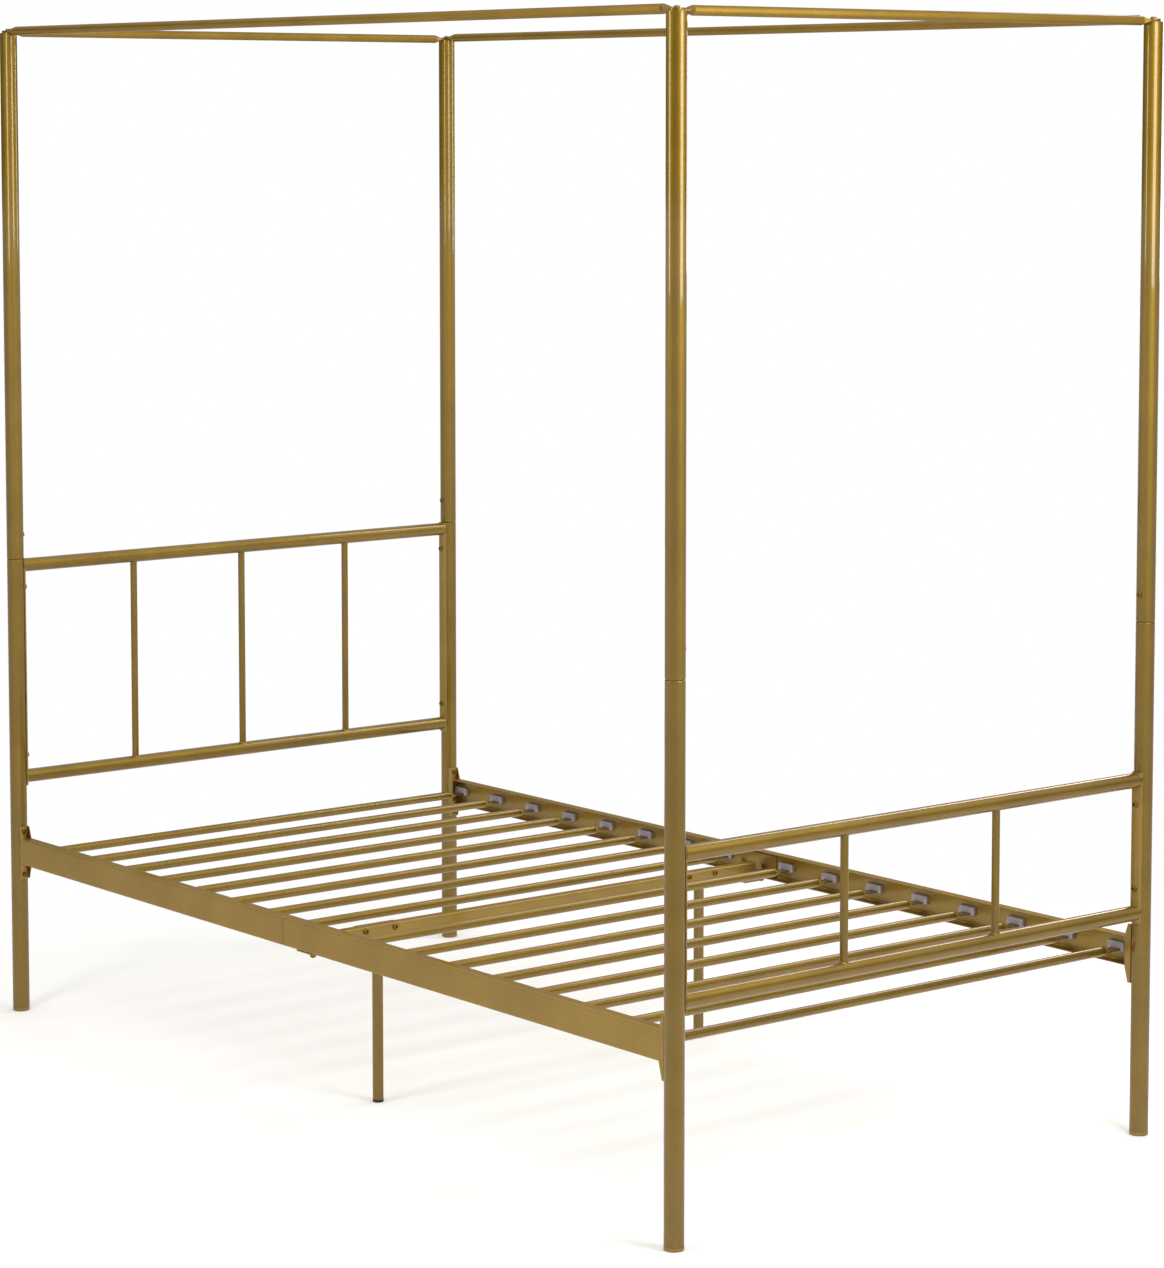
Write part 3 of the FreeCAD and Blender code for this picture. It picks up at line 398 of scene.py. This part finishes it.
# Out along the dished foot, up the rounded rim to the tube, and in and up the stem.
CAP_EDGE = 2.0 * MM
CAP_DISH = 0.8 * MM
post_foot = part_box("lower_post_foot_left")[0][2]
cap_outline = rounded([(2 * MM, CAP_DISH), (post_radius * 0.55, CAP_DISH), (post_radius * 0.62, 0),
                       (post_radius, 0), (post_radius, post_foot), (post_radius * 0.8, post_foot),
                       (post_radius * 0.8, post_foot + 8 * MM)],
                      (0, 0.5 * MM, 0.5 * MM, CAP_EDGE, 0.25 * MM, 0, 0))
piece("foot_caps_moulded", [skin(moved(lathe(cap_outline), post_axes[corner])) for corner in corners],
      gold_nylon, "gold_plastic", "foot_caps")


# ---------------------------------------------------------------- canopy
# Four 5/8 inch tubes with ends pressed flat in a die. The tabs cross on a threaded plug in each
# post's top, the long rails' tabs uppermost, and one gold button bolt clamps both down.

def pressed_tube(length_half, radius, wall, flat_from, round_to, tab_half, tip="disc", around=48):
    """Rings of a tube along X with ends pressed flat, from -length_half to +length_half.

    The section is a superellipse: (a sgn(cos)|cos|^(2/n), b sgn(sin)|sin|^(2/n)). From the round part
    to the flat, a grows from the radius to tab_half, b falls to one wall and n rises from 2 to 7, each
    by three quarters of t and a quarter of the smooth step 3t^2 - 2t^3. A disc tip, x past length_half,
    narrows to sqrt(tab_half^2 - x^2). A square tip rounds off over its last 2 mm.
    """
    half = [0.0, round_to * 0.5] + list(np.linspace(round_to, flat_from, 15))
    tip_edge = 2 * MM
    if tip == "disc":
        reach = np.sin(np.linspace(0, math.pi / 2, 12)[1:]) * tab_half
        half += [length_half] + list(length_half + reach * 0.9995)
    else:
        half += [length_half - tip_edge * part for part in (1, 0.5, 0.15, 0)]
    x = np.array(half)
    t = np.clip((x - round_to) / (flat_from - round_to), 0, 1)
    t = 0.75 * t + 0.25 * (3 * t ** 2 - 2 * t ** 3)
    a = radius + t * (tab_half - radius)
    b = radius + t * (wall - radius)
    n = 2 + t * 5
    if tip == "disc":
        past = np.clip(x - length_half, 0, None)
        a = np.minimum(a, np.sqrt(np.clip(tab_half ** 2 - past ** 2, 1e-9, None)))
    else:
        gone = np.clip((x - (length_half - tip_edge)) / tip_edge, 0, 1)
        a = a - (1 - np.sqrt(1 - gone ** 2)) * tip_edge
    x = np.concatenate([-x[:0:-1], x])
    a, b, n = (np.concatenate([s[:0:-1], s]) for s in (a, b, n))
    angle = full_turn(around)
    power = 2 / n[:, None]
    across = a[:, None] * np.sign(np.cos(angle)) * np.abs(np.cos(angle)) ** power
    up = b[:, None] * np.sign(np.sin(angle)) * np.abs(np.sin(angle)) ** power
    return np.stack([np.repeat(x[:, None], around, 1), across, up], axis=-1)


# The same paint as the posts, with its golds painted a little lighter: painted light on the canopy rails.
canopy_gold_painted_lighter = powder_coat("gold_powder_coat_on_canopy", "#967A30", "#876C26", "#AF9048",
                          gloss=0.54, clear=0.45)
CANOPY_WALL = 1.2 * MM
CANOPY_FLAT = 17.5 * MM
CANOPY_PRESS = 13 * MM
CANOPY_TAB = 11.8 * MM
for name in ("head", "foot", "left", "right"):
    label = "canopy_rail_" + name
    low, high = extent(label)
    long_way = int(high[1] - low[1] > high[0] - low[0])
    span = (high - low)[long_way] / 2 - CANOPY_TAB
    radius = (high - low)[2] / 2
    flat_from = span - CANOPY_FLAT
    rings = pressed_tube(span, radius, CANOPY_WALL, flat_from, flat_from - CANOPY_PRESS, CANOPY_TAB)
    if long_way:
        rings = moved(rings, across=(0, 1, 0), along=(-1, 0, 0))
    piece(label + "_tube", [skin(rings + middle(label))], canopy_gold_painted_lighter, "gold_paint", label)

# The plug's rim shows as a thin ring under the lower tab.
PLUG_RIM = 2.5 * MM
PLUG_STEM = 12 * MM
PLUG_BORE = 3 * MM
plug_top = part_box("post_top_plugs")[1][2]
plug_radius = post_radius + 0.25 * MM
plug_outline = rounded([(PLUG_BORE, -PLUG_STEM), (0.8 * post_radius, -PLUG_STEM),
                        (0.8 * post_radius, -PLUG_RIM), (plug_radius, -PLUG_RIM), (plug_radius, 0),
                        (PLUG_BORE, 0)],
                       (0, 0, 0, 0.3 * MM, 0.5 * MM, 0))
piece("post_top_plugs_pressed",
      [skin(moved(lathe(plug_outline), post_axes[corner] + [0, 0, plug_top])) for corner in corners],
      tube_gold, "gold_paint", "post_top_plugs")


def hexagon(around):
    """Radii of a hexagon whose flats are 1 from its middle: 1 / cos(a mod 60 degrees - 30 degrees)."""
    return 1 / np.cos(np.mod(full_turn(around), math.pi / 3) - math.pi / 6)


def socket_head(radius, rise, socket, length, dome=0.5, around=48):
    """Rings of an M6 button head bolt about Z, its seat at 0 and its shank below.

    The head is a quarter ellipse over the dome part of its rise, from the rim to the socket, a hexagon
    with socket half its width across flats.
    """
    rings = [(0.86 * SHANK, -length), (SHANK, -length + 0.14 * SHANK), (SHANK, 0),
             (radius * 0.97, 0), (radius, 0.12 * rise), (radius, (1 - dome) * rise)]
    land = socket * 1.32
    for t in np.linspace(0, math.pi / 2, 9)[1:]:
        rings.append((land + (radius - land) * math.cos(t), rise * (1 - dome + dome * math.sin(t))))
    flats = socket * hexagon(around)
    rings += [(flats * 1.03, rise), (flats, rise - 0.03 * radius), (flats, rise * 0.35)]
    radii = np.array([ring[0] * np.ones(around) for ring in rings])
    return turned(radii, np.array([ring[1] for ring in rings]))


SHANK = 3 * MM
HEAD_RADIUS = 5.25 * MM
tab_top = middle("canopy_rail_left")[2] + CANOPY_WALL
bolt_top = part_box("canopy_bolts")[1][2]
canopy_bolt_skins = []
for corner in corners:
    head = socket_head(HEAD_RADIUS, bolt_top - tab_top, 2.2 * MM, 20 * MM, dome=0.75)
    canopy_bolt_skins.append(skin(moved(head, post_axes[corner] + [0, 0, tab_top])))
piece("canopy_cap_bolts", canopy_bolt_skins, tube_gold, "gold_paint", "canopy_bolts")


# ---------------------------------------------------------------- joint screws
# A short gold screw locks each upper post to the spigot inside it, low on the side that faces
# the other post across the bed.

def plated_steel(name, shade, deep, roughness):
    """Turned steel with an electroplated finish: fine turning marks, and darker stains in patches."""
    material, tree, metal, place = new_material(name)
    stain = noise(tree, place, 3 * MM, 4.0)
    tree.links.new(two_tone(tree, stain, deep, shade, 0.2), metal.inputs["Base Color"])
    roughen(tree, metal, stain, roughness - 0.08, roughness + 0.12)
    emboss(tree, metal, noise(tree, place, 0.33 * MM, 1.0), 0.25, 0.02 * MM, "Normal")
    metal.inputs["Metallic"].default_value = 1.0
    return material


gold_plate = plated_steel("gold_tinted_zinc_plate", "#8C7026", "#6E5518", 0.36)
bright_plate = plated_steel("bright_zinc_plate", "#C9CBCC", "#A9ABAD", 0.30)

joint_screw_rise = middle("joint_screws")[2]
joint_screw_skins = []
for end, side in corners:
    inward = np.array([-SIDES[side], 0, 0])
    seat = post_axes[end, side] + [0, 0, joint_screw_rise] + inward * (post_radius - 0.3 * MM)
    head = socket_head(5.2 * MM, 2.8 * MM, 1.6 * MM, 2.5 * MM)
    joint_screw_skins.append(skin(moved(head, seat, (0, 1, 0), (0, 0, 1), inward)))
piece("joint_lock_screws", joint_screw_skins, gold_plate, "gold_hardware", "joint_screws")


# ---------------------------------------------------------------- headboard and footboard
# Each board is a welded ladder: two 1 inch rails coped to a curved strip at each side, with
# half inch spindles between them. A thin bead of weld fills every corner, under the paint.

def coped_tube(half_span, radius, seat_radius, bead, around=48):
    """Rings of a tube along X that ends on two round bars of seat_radius, along Z at +-half_span.

    At distance t from a bar, a point at angle a is at x = half_span - sqrt(seat^2 - (r cos a)^2) - t.
    The bead widens the tube by bead (1 - sqrt(1 - (1 - t / bead)^2)), a concave quarter circle.
    """
    angle = full_turn(around)
    t = np.array([0.0, 0.08, 0.2, 0.4, 0.65, 1.0]) * bead
    grown = radius + bead * (1 - np.sqrt(1 - (1 - t / bead) ** 2))
    grown = np.minimum(grown, seat_radius * 0.985)[:, None]
    y, z = grown * np.cos(angle), grown * np.sin(angle)
    right = np.stack([half_span - np.sqrt(seat_radius ** 2 - y ** 2) - t[:, None], y, z], axis=-1)
    left = right * [-1, 1, 1]
    return np.concatenate([left, right[::-1]])


SADDLE = 3 * MM
COAT_GAP = 0.1 * MM
saddle_in = post_radius + COAT_GAP
saddle_out = saddle_in + SADDLE
spacing_half = post_axes["foot", "right"][0]
BEAD = 1.8 * MM


def sheet(line, wall, low, high, edge=0.3):
    """Rings of a plate bent along a flat line, in x and y, that reaches from low to high in z.

    The line is the middle of the plate. Each ring is a rectangle of wall by (high - low) with its
    corners rounded by edge times the wall, square to the line. low and high may change along it. The
    two end rings are drawn in by nearly as much as that rounding.
    """
    line = np.array(line, float)
    low, high = np.broadcast_to(low, len(line)), np.broadcast_to(high, len(line))
    soft = edge * wall
    steps = np.linalg.norm(np.diff(line, axis=0), axis=1)
    along = np.concatenate([[0], np.cumsum(steps)])
    inner = along[(along > soft * 1.01) & (along < along[-1] - soft * 1.01)]
    where = np.concatenate([[0, soft * 0.3, soft], inner, along[-1] - np.array([soft, soft * 0.3, 0])])
    spine = np.stack([np.interp(where, along, line[:, k]) for k in (0, 1)], axis=-1)
    low, high = np.interp(where, along, low), np.interp(where, along, high)
    course = np.gradient(spine, where, axis=0)
    course /= np.linalg.norm(course, axis=1)[:, None]
    normal = np.stack([-course[:, 1], course[:, 0]], axis=-1)
    inset = np.zeros(len(where))
    inset[[0, -1]] = soft * 0.9
    inset[[1, -2]] = soft * 0.3
    corner = (soft - inset)[:, None]
    rings = []
    for k, (side, cap) in enumerate(((1, 1), (-1, 1), (-1, -1), (1, -1))):
        turn = np.linspace(0, math.pi / 2, 4) + k * math.pi / 2
        offset = side * (wall / 2 - soft) + corner * np.cos(turn)
        rise = np.where(cap > 0, high, low)[:, None] - cap * soft + corner * np.sin(turn)
        rings.append(np.stack([
            spine[:, :1] + normal[:, :1] * offset, spine[:, 1:] + normal[:, 1:] * offset, rise], axis=-1))
    return np.concatenate(rings, axis=1)


def arc(radius, start, stop, steps=17):
    """Points of an arc about the origin, with its angles in degrees."""
    angle = np.radians(np.linspace(start, stop, steps))
    return np.stack([radius * np.cos(angle), radius * np.sin(angle)], axis=-1)


# The same paint as the tubes, with its golds painted lighter: painted light on the flat sheet faces.
pressed_gold_painted_lighter = powder_coat("gold_powder_coat_on_sheet_painted_lighter", "#AB8E48", "#9C8040", "#C4A86C",
                           clear=0.5, peel=3.0 * MM)
STRIP_CHORD = 25 * MM
rail_rise = {}
for board, end in (("headboard", "head"), ("footboard", "foot")):
    for level in ("top", "bottom"):
        label = "%s_%s_rail" % (board, level)
        low, high = extent(label)
        rail_rise[end, level] = middle(label)[2]
        rail_radius = (high[2] - low[2]) / 2
        rings = coped_tube(spacing_half, rail_radius, saddle_out, 0.4 * BEAD)
        piece(label + "_tube", [skin(rings + middle(label))], tube_gold, "gold_paint", label)
    spindle_half = (rail_rise[end, "top"] - rail_rise[end, "bottom"]) / 2
    for label in sorted(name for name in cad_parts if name.startswith(board + "_spindle")):
        low, high = extent(label)
        spindle_radius = (high[0] - low[0]) / 2
        rings = coped_tube(spindle_half, spindle_radius, rail_radius, BEAD, 36)
        centre = middle(label)
        centre[2] = rail_rise[end, "bottom"] + spindle_half
        piece(label + "_tube", [skin(moved(rings, centre, (0, 0, 1), (0, 1, 0), (1, 0, 0)))],
              tube_gold, "gold_paint", label)

    label = board + "_side_strips"
    low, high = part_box(label)
    reach = math.degrees(math.asin(STRIP_CHORD / 2 / saddle_out))
    strip = sheet(arc(saddle_in + SADDLE / 2, -reach, reach), SADDLE, low[2], high[2])
    piece(label + "_curved", [
        skin(moved(strip, post_axes[end, side], (-SIDES[side], 0, 0))) for side in SIDES],
        pressed_gold_painted_lighter, "gold_paint", label)


# ---------------------------------------------------------------- side rails
# Each side is a channel folded from sheet, open to the inside, in two lengths that meet at a
# fine seam near the middle. Its folds have an outside radius of a few millimetres.

def stood(rings, sign=1):
    """Rings of a sheet whose line was drawn in x and height, with its low and high along the bed."""
    return moved(rings, (0, 0, 0), (sign, 0, 0), (0, 0, 1), (0, 1, 0))


RAIL_WALL = 1.5 * MM
FOLD = 2.6 * MM
SEAM = 0.6 * MM
for side, sign in SIDES.items():
    for end in ENDS:
        label = "side_rail_%s_%s" % (side, end)
        low, high = extent(label)
        lip, web = (high[0], low[0]) if sign < 0 else (low[0], high[0])
        web -= sign * RAIL_WALL / 2
        top, bottom = high[2] - RAIL_WALL / 2, low[2] + RAIL_WALL / 2
        section = rounded([(lip, top), (web, top), (web, bottom), (lip, bottom)], (0, FOLD, FOLD, 0), 7)
        rings = sheet(section, RAIL_WALL, low[1] + SEAM * (end == "head"), high[1] - SEAM * (end == "foot"))
        piece(label + "_channel", [skin(stood(rings))], pressed_gold_painted_lighter, "gold_paint", label)


# ---------------------------------------------------------------- corner brackets
# A pressed saddle of 3 mm steel that hugs the post, with two tapering flanges to which
# the side rail's end is welded. Two bolts hold it to the post.

rail_low, rail_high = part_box("side_rail_right_head")
bracket_low, bracket_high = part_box("rail_end_brackets")
rail_reach = post_axes["head", "right"][1] - rail_high[1]
rail_out = rail_high[0] - spacing_half
rail_back = rail_low[0] - spacing_half
FLANGE = 1.5 * MM
SHOULDER = 0.5 * MM
saddle_middle = saddle_in + SADDLE / 2
saddle_turn = [math.degrees(math.asin(edge / saddle_out)) for edge in (rail_back, rail_out)]
shapes = [sheet(arc(saddle_middle, *saddle_turn), SADDLE, bracket_low[2], bracket_high[2])]
for edge, inner in ((rail_out, -0.5), (rail_back, 0.5)):
    aside = edge + inner * FLANGE
    line = [(start, aside) for start in (
        math.sqrt(saddle_middle ** 2 - edge ** 2), saddle_out + SHOULDER, rail_reach)]
    shapes.append(sheet(line, FLANGE, (bracket_low[2], bracket_low[2], rail_low[2]),
                        (bracket_high[2], bracket_high[2], rail_high[2])))
bracket_skins = [skin(moved(shape, post_axes[end, side], (0, -ENDS[end], 0), (SIDES[side], 0, 0)))
                 for end, side in corners for shape in shapes]
piece("rail_end_brackets_pressed", bracket_skins, pressed_gold_painted_lighter, "gold_paint", "rail_end_brackets")


# ---------------------------------------------------------------- frame bolts and weld nuts
# Button head bolts with a hexagon socket. They hold the boards' strips and the corner
# brackets, and screw into round nuts welded inside the posts.

BOARD_BOLT_INSET = 41 * MM
BRACKET_BOLT_INSET = 8 * MM
SOCKET = 2 * MM
frame_bolt_skins = []
for end, side in corners:
    seats = [((-SIDES[side], 0, 0), rise) for rise in (
        rail_rise[end, "bottom"] + BOARD_BOLT_INSET, rail_rise[end, "top"] - BOARD_BOLT_INSET)]
    seats += [((0, -ENDS[end], 0), rise) for rise in (
        bracket_low[2] + BRACKET_BOLT_INSET, bracket_high[2] - BRACKET_BOLT_INSET)]
    for facing, rise in seats:
        seat = post_axes[end, side] + [0, 0, rise] + np.array(facing) * (saddle_out - 0.35 * MM)
        head = socket_head(HEAD_RADIUS, 3.5 * MM, SOCKET, 12 * MM)
        frame_bolt_skins.append(skin(moved(head, seat, (facing[1], facing[0], 0), (0, 0, 1), facing)))
piece("frame_button_bolts", frame_bolt_skins, gold_plate, "gold_hardware", "frame_bolts")

# The weld nuts are out of sight inside the posts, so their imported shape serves.
weld_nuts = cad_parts["post_nuts"]
weld_nuts.data.materials.clear()
weld_nuts.data.materials.append(bright_plate)


# ---------------------------------------------------------------- rail joiners
# An angle plate behind each seam, held by two short screws into the channel's web. The beam's
# end bolt goes down through its flat leg.

JOINER_WALL = 2 * MM
joiner_low, joiner_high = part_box("rail_joiners")
JOINER_WIDTH = 16 * MM
joiner_floor = joiner_low[2] + JOINER_WALL
screw_low, screw_high = extent("joiner_screws")
screw_rise = (screw_low[2] + screw_high[2]) / 2
joiner_skins, joiner_screw_skins = [], []
for sign in SIDES.values():
    web = joiner_high[0]
    upright, flat = web - JOINER_WALL / 2, joiner_floor - JOINER_WALL / 2
    line = rounded([(upright, joiner_high[2]), (upright, flat), (web - JOINER_WIDTH, flat)], 2 * MM)
    plate = sheet(line, JOINER_WALL, joiner_low[1], joiner_high[1])
    joiner_skins.append(skin(stood(plate, sign)))
    for place_y in (screw_low[1] + HEAD_RADIUS, screw_high[1] - HEAD_RADIUS):
        head = socket_head(HEAD_RADIUS, 2.6 * MM, 1.6 * MM, 3 * MM)
        seat = (sign * (web - JOINER_WALL), place_y, screw_rise)
        joiner_screw_skins.append(skin(moved(head, seat, (0, 1, 0), (0, 0, 1), (-sign, 0, 0))))
piece("rail_joiners_folded", joiner_skins, pressed_gold_painted_lighter, "gold_paint", "rail_joiners")
piece("joiner_button_screws", joiner_screw_skins, gold_plate, "gold_hardware", "joiner_screws")


# ---------------------------------------------------------------- centre beam
# A rectangular tube across the bed, with a joggled plate welded under each end. The plate steps
# up to lie against the side rail's underside, where one bolt and nut hold it.

BEAM_WIDTH = 20 * MM
BEAM_WALL = 1.2 * MM
BEAM_CORNER = 2.2 * MM
SEAT_WALL = 2.5 * MM
SEAT_LENGTH = 40 * MM
SEAT_STEP = 2.5 * MM
beam_low, beam_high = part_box("centre_beam")
beam_floor = beam_low[2] + SEAT_WALL
beam_end = rail_low[0] - 1.5 * MM


def box_loop(width, height, corner):
    """A closed loop in y and z: a rectangle about the origin with round corners."""
    ways = ((1, 1), (-1, 1), (-1, -1), (1, -1))
    return rounded([(y * width / 2, z * height / 2) for y, z in ways], corner, 6, closed=True)


beam_rings = []
lip = 0.25 * MM
for x, shrink in ((-beam_end, lip), (-beam_end + lip, 0), (beam_end - lip, 0), (beam_end, lip),
                  (beam_end, BEAM_WALL), (-beam_end, BEAM_WALL)):
    loop = box_loop(BEAM_WIDTH - 2 * shrink, beam_high[2] - beam_floor - 2 * shrink, BEAM_CORNER - shrink)
    beam_rings.append(np.column_stack([np.full(len(loop), x), loop]))
beam_skins = [skin(np.array(beam_rings) + [0, 0, (beam_high[2] + beam_floor) / 2], loop=True)]
step = beam_end + SEAT_STEP
half_seat = SEAT_WALL / 2
for sign in SIDES.values():
    line = rounded([(beam_end - SEAT_LENGTH, beam_floor - half_seat), (step, beam_floor - half_seat),
                    (step + SEAT_WALL, beam_floor + half_seat), (beam_high[0], beam_floor + half_seat)],
                   2 * MM)
    beam_skins.append(skin(stood(sheet(line, SEAT_WALL, beam_low[1], beam_high[1]), sign)))
piece("centre_beam_tube", beam_skins, pressed_gold_painted_lighter, "gold_paint", "centre_beam")


def hex_nut(flats, bore, thick, around=48):
    """Rings of a hexagon nut about Z, from 0 up, with its corners cut back to a circle at both faces."""
    outer = flats / 2 * hexagon(around)
    cut = np.minimum(outer, flats / 2 * 1.02)
    hole = np.full(around, bore)
    rows = [(hole, 0), (cut, 0), (outer, 0.13 * thick), (outer, 0.87 * thick), (cut, thick), (hole, thick)]
    return turned(np.array([row[0] for row in rows]), np.array([row[1] for row in rows]))


bolt_low, bolt_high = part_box("beam_bolts")
beam_bolt_y = (bolt_low[1] + bolt_high[1]) / 2
beam_bolt_x = bolt_high[0] - HEAD_RADIUS
HEAD_RISE = 3.3 * MM
NUT = (10 * MM, 2.6 * MM, 5 * MM)  # across flats, bore radius, thickness
nut_skins, beam_bolt_skins = [], []
for sign in SIDES.values():
    seat = np.array([sign * beam_bolt_x, beam_bolt_y, joiner_floor])
    head = socket_head(HEAD_RADIUS, HEAD_RISE, SOCKET, joiner_floor - bolt_low[2])
    beam_bolt_skins.append(skin(moved(head, seat)))
    nut_skins.append(skin(moved(hex_nut(*NUT), (seat[0], seat[1], beam_floor - NUT[2])), loop=True))
piece("beam_button_bolts", beam_bolt_skins, gold_plate, "gold_hardware", "beam_bolts")


# ---------------------------------------------------------------- support legs
# Two 3/4 inch tubes under the beam. An angle plate is welded to each leg's top, and two bolts
# through its upright and the beam hold it. A black cap is pressed into the foot.

black_plastic = moulded_plastic("black_moulded_polythene", "#1E1D1C", "#121211", 0.48, 0.8 * MM)
PLATE_WALL = 3 * MM
LEG_BOLT_PITCH = 62 * MM
LEG_WELD = 2.2 * MM
leg_bolt_skins, leg_cap_skins = [], []
leg_bolt_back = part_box("leg_bolts")[1][1]
leg_bolt_rise = middle("leg_bolts")[2]
LEG_RADIUS = 9.5 * MM
plate_floor = beam_floor - PLATE_WALL
for side in SIDES:
    label = "support_leg_" + side
    low, high = extent(label)
    across = (low[0] + high[0]) / 2
    foot = low[2]
    tube_line = [(0.6 * LEG_RADIUS, foot), (LEG_RADIUS - SQUARE_RIM, foot), (LEG_RADIUS, foot + SQUARE_RIM)]
    # The weld under the plate is a plain fillet.
    flare = [(LEG_RADIUS + LEG_WELD * (1 - math.cos(t)), plate_floor - LEG_WELD * math.cos(t))
             for t in np.linspace(0, math.pi / 2, 7)]
    tube = skin(moved(lathe(np.array(tube_line + flare), 48), (across, 0, 0)))
    upright, flat = (BEAM_WIDTH + PLATE_WALL) / 2, beam_floor - PLATE_WALL / 2
    line = rounded([(-BEAM_WIDTH / 2, flat), (upright, flat), (upright, high[2])], 2.2 * MM)
    plate = sheet(line, PLATE_WALL, low[0], high[0])
    plate = skin(moved(plate, (0, 0, 0), (0, 1, 0), (0, 0, 1), (1, 0, 0)))
    piece(label + "_welded", [tube, plate], tube_gold, "gold_paint", label)

    cap_line = rounded([(1 * MM, 0.6 * MM), (0.5 * LEG_RADIUS, 0.6 * MM), (0.58 * LEG_RADIUS, 0),
                        (LEG_RADIUS, 0), (LEG_RADIUS, foot), (0.8 * LEG_RADIUS, foot),
                        (0.8 * LEG_RADIUS, foot + 6 * MM)],
                       (0, 0.3 * MM, 0.3 * MM, 1.4 * MM, 0.2 * MM, 0, 0))
    leg_cap_skins.append(skin(moved(lathe(cap_line, 48), (across, 0, 0))))
    for bolt_x in (across - LEG_BOLT_PITCH / 2, across + LEG_BOLT_PITCH / 2):
        seat = np.array([bolt_x, -BEAM_WIDTH / 2, leg_bolt_rise])
        head = socket_head(HEAD_RADIUS, HEAD_RISE, SOCKET, leg_bolt_back + BEAM_WIDTH / 2)
        leg_bolt_skins.append(skin(moved(head, seat, (1, 0, 0), (0, 0, 1), (0, -1, 0))))
        nut_seat = (bolt_x, BEAM_WIDTH / 2 + PLATE_WALL, leg_bolt_rise)
        nut_skins.append(skin(moved(hex_nut(*NUT), nut_seat, (1, 0, 0), (0, 0, 1), (0, 1, 0)), loop=True))
piece("leg_button_bolts", leg_bolt_skins, gold_plate, "gold_hardware", "leg_bolts")
piece("beam_hexagon_nuts", nut_skins, gold_plate, "gold_hardware", "beam_nuts")
piece("leg_caps_moulded", leg_cap_skins, black_plastic, "black_plastic", "leg_caps")


# ---------------------------------------------------------------- slats and their holders
# Sixteen 5/8 inch tubes lie across the bed. Each end is pressed to a flat tongue and pushed
# into a grey plastic holder, which lies against the channel's web.

SLAT_WALL = 1 * MM
SLAT_PRESS = 12 * MM
SLAT_PRESS_INSET = 37 * MM
web_in = rail_high[0] - RAIL_WALL
grey_plastic = moulded_plastic("grey_moulded_polypropylene", "#A49EA3", "#938D92", 0.44, 1.1 * MM)
holder_low, holder_high = extent("slat_holders")
holder_height = holder_high[2] - holder_low[2]
holder_middle = (holder_low[2] + holder_high[2]) / 2
HOLDER_LENGTH = 38 * MM
HOLDER_DEPTH = 7 * MM
HOLDER_CORNER = 2.0 * MM
HOLDER_EDGE = 1.2 * MM
MOUTH = (23.3 * MM, 2.3 * MM)


def holder_rings(slot_drop):
    """A holder about its back's centre, open toward -x.

    Round-cornered rectangles carried in from the back: out to the full block, round its front edge,
    flat in to the mouth, then down into the slot, whose middle is slot_drop below the block's.
    """
    stages = [(0, 0.5 * MM, 1.6 * MM), (-0.5 * MM, 0, HOLDER_CORNER)]
    for t in np.linspace(0, math.pi / 2, 6):
        stages.append((-HOLDER_DEPTH + HOLDER_EDGE * (1 - math.sin(t)), HOLDER_EDGE * (1 - math.cos(t)),
                       HOLDER_CORNER))
    rings = []
    for depth, shrink, corner in stages:
        loop = box_loop(HOLDER_LENGTH - 2 * shrink, holder_height - 2 * shrink,
                        max(corner - shrink, 0.5 * MM))
        rings.append(np.column_stack([np.full(len(loop), depth), loop]))
    for depth, grow in ((-HOLDER_DEPTH, 0.4 * MM), (-HOLDER_DEPTH + 0.5 * MM, 0), (-2 * MM, 0)):
        loop = box_loop(MOUTH[0] + 2 * grow, MOUTH[1] + 2 * grow, 0.6 * MM)
        rings.append(np.column_stack([np.full(len(loop), depth), loop - [0, slot_drop]]))
    return np.array(rings)


holder_skins = []
for label in sorted(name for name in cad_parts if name.startswith("slat_") and name[-1].isdigit()):
    low, high = extent(label)
    centre = middle(label)
    slat_radius = (high[2] - low[2]) / 2
    tongue = (high[1] - low[1]) / 2
    round_to = web_in - SLAT_PRESS_INSET
    rings = pressed_tube(high[0], slat_radius, SLAT_WALL, round_to + SLAT_PRESS, round_to, tongue,
                         tip="square", around=40)
    piece(label + "_tube", [skin(rings + centre)], tube_gold, "gold_paint", label)
    for sign in SIDES.values():
        back = (sign * web_in, centre[1], holder_middle)
        holder_skins.append(skin(moved(holder_rings(holder_middle - centre[2]), back, (sign, 0, 0))))
piece("slat_holders_moulded", holder_skins, grey_plastic, "holder_plastic", "slat_holders")
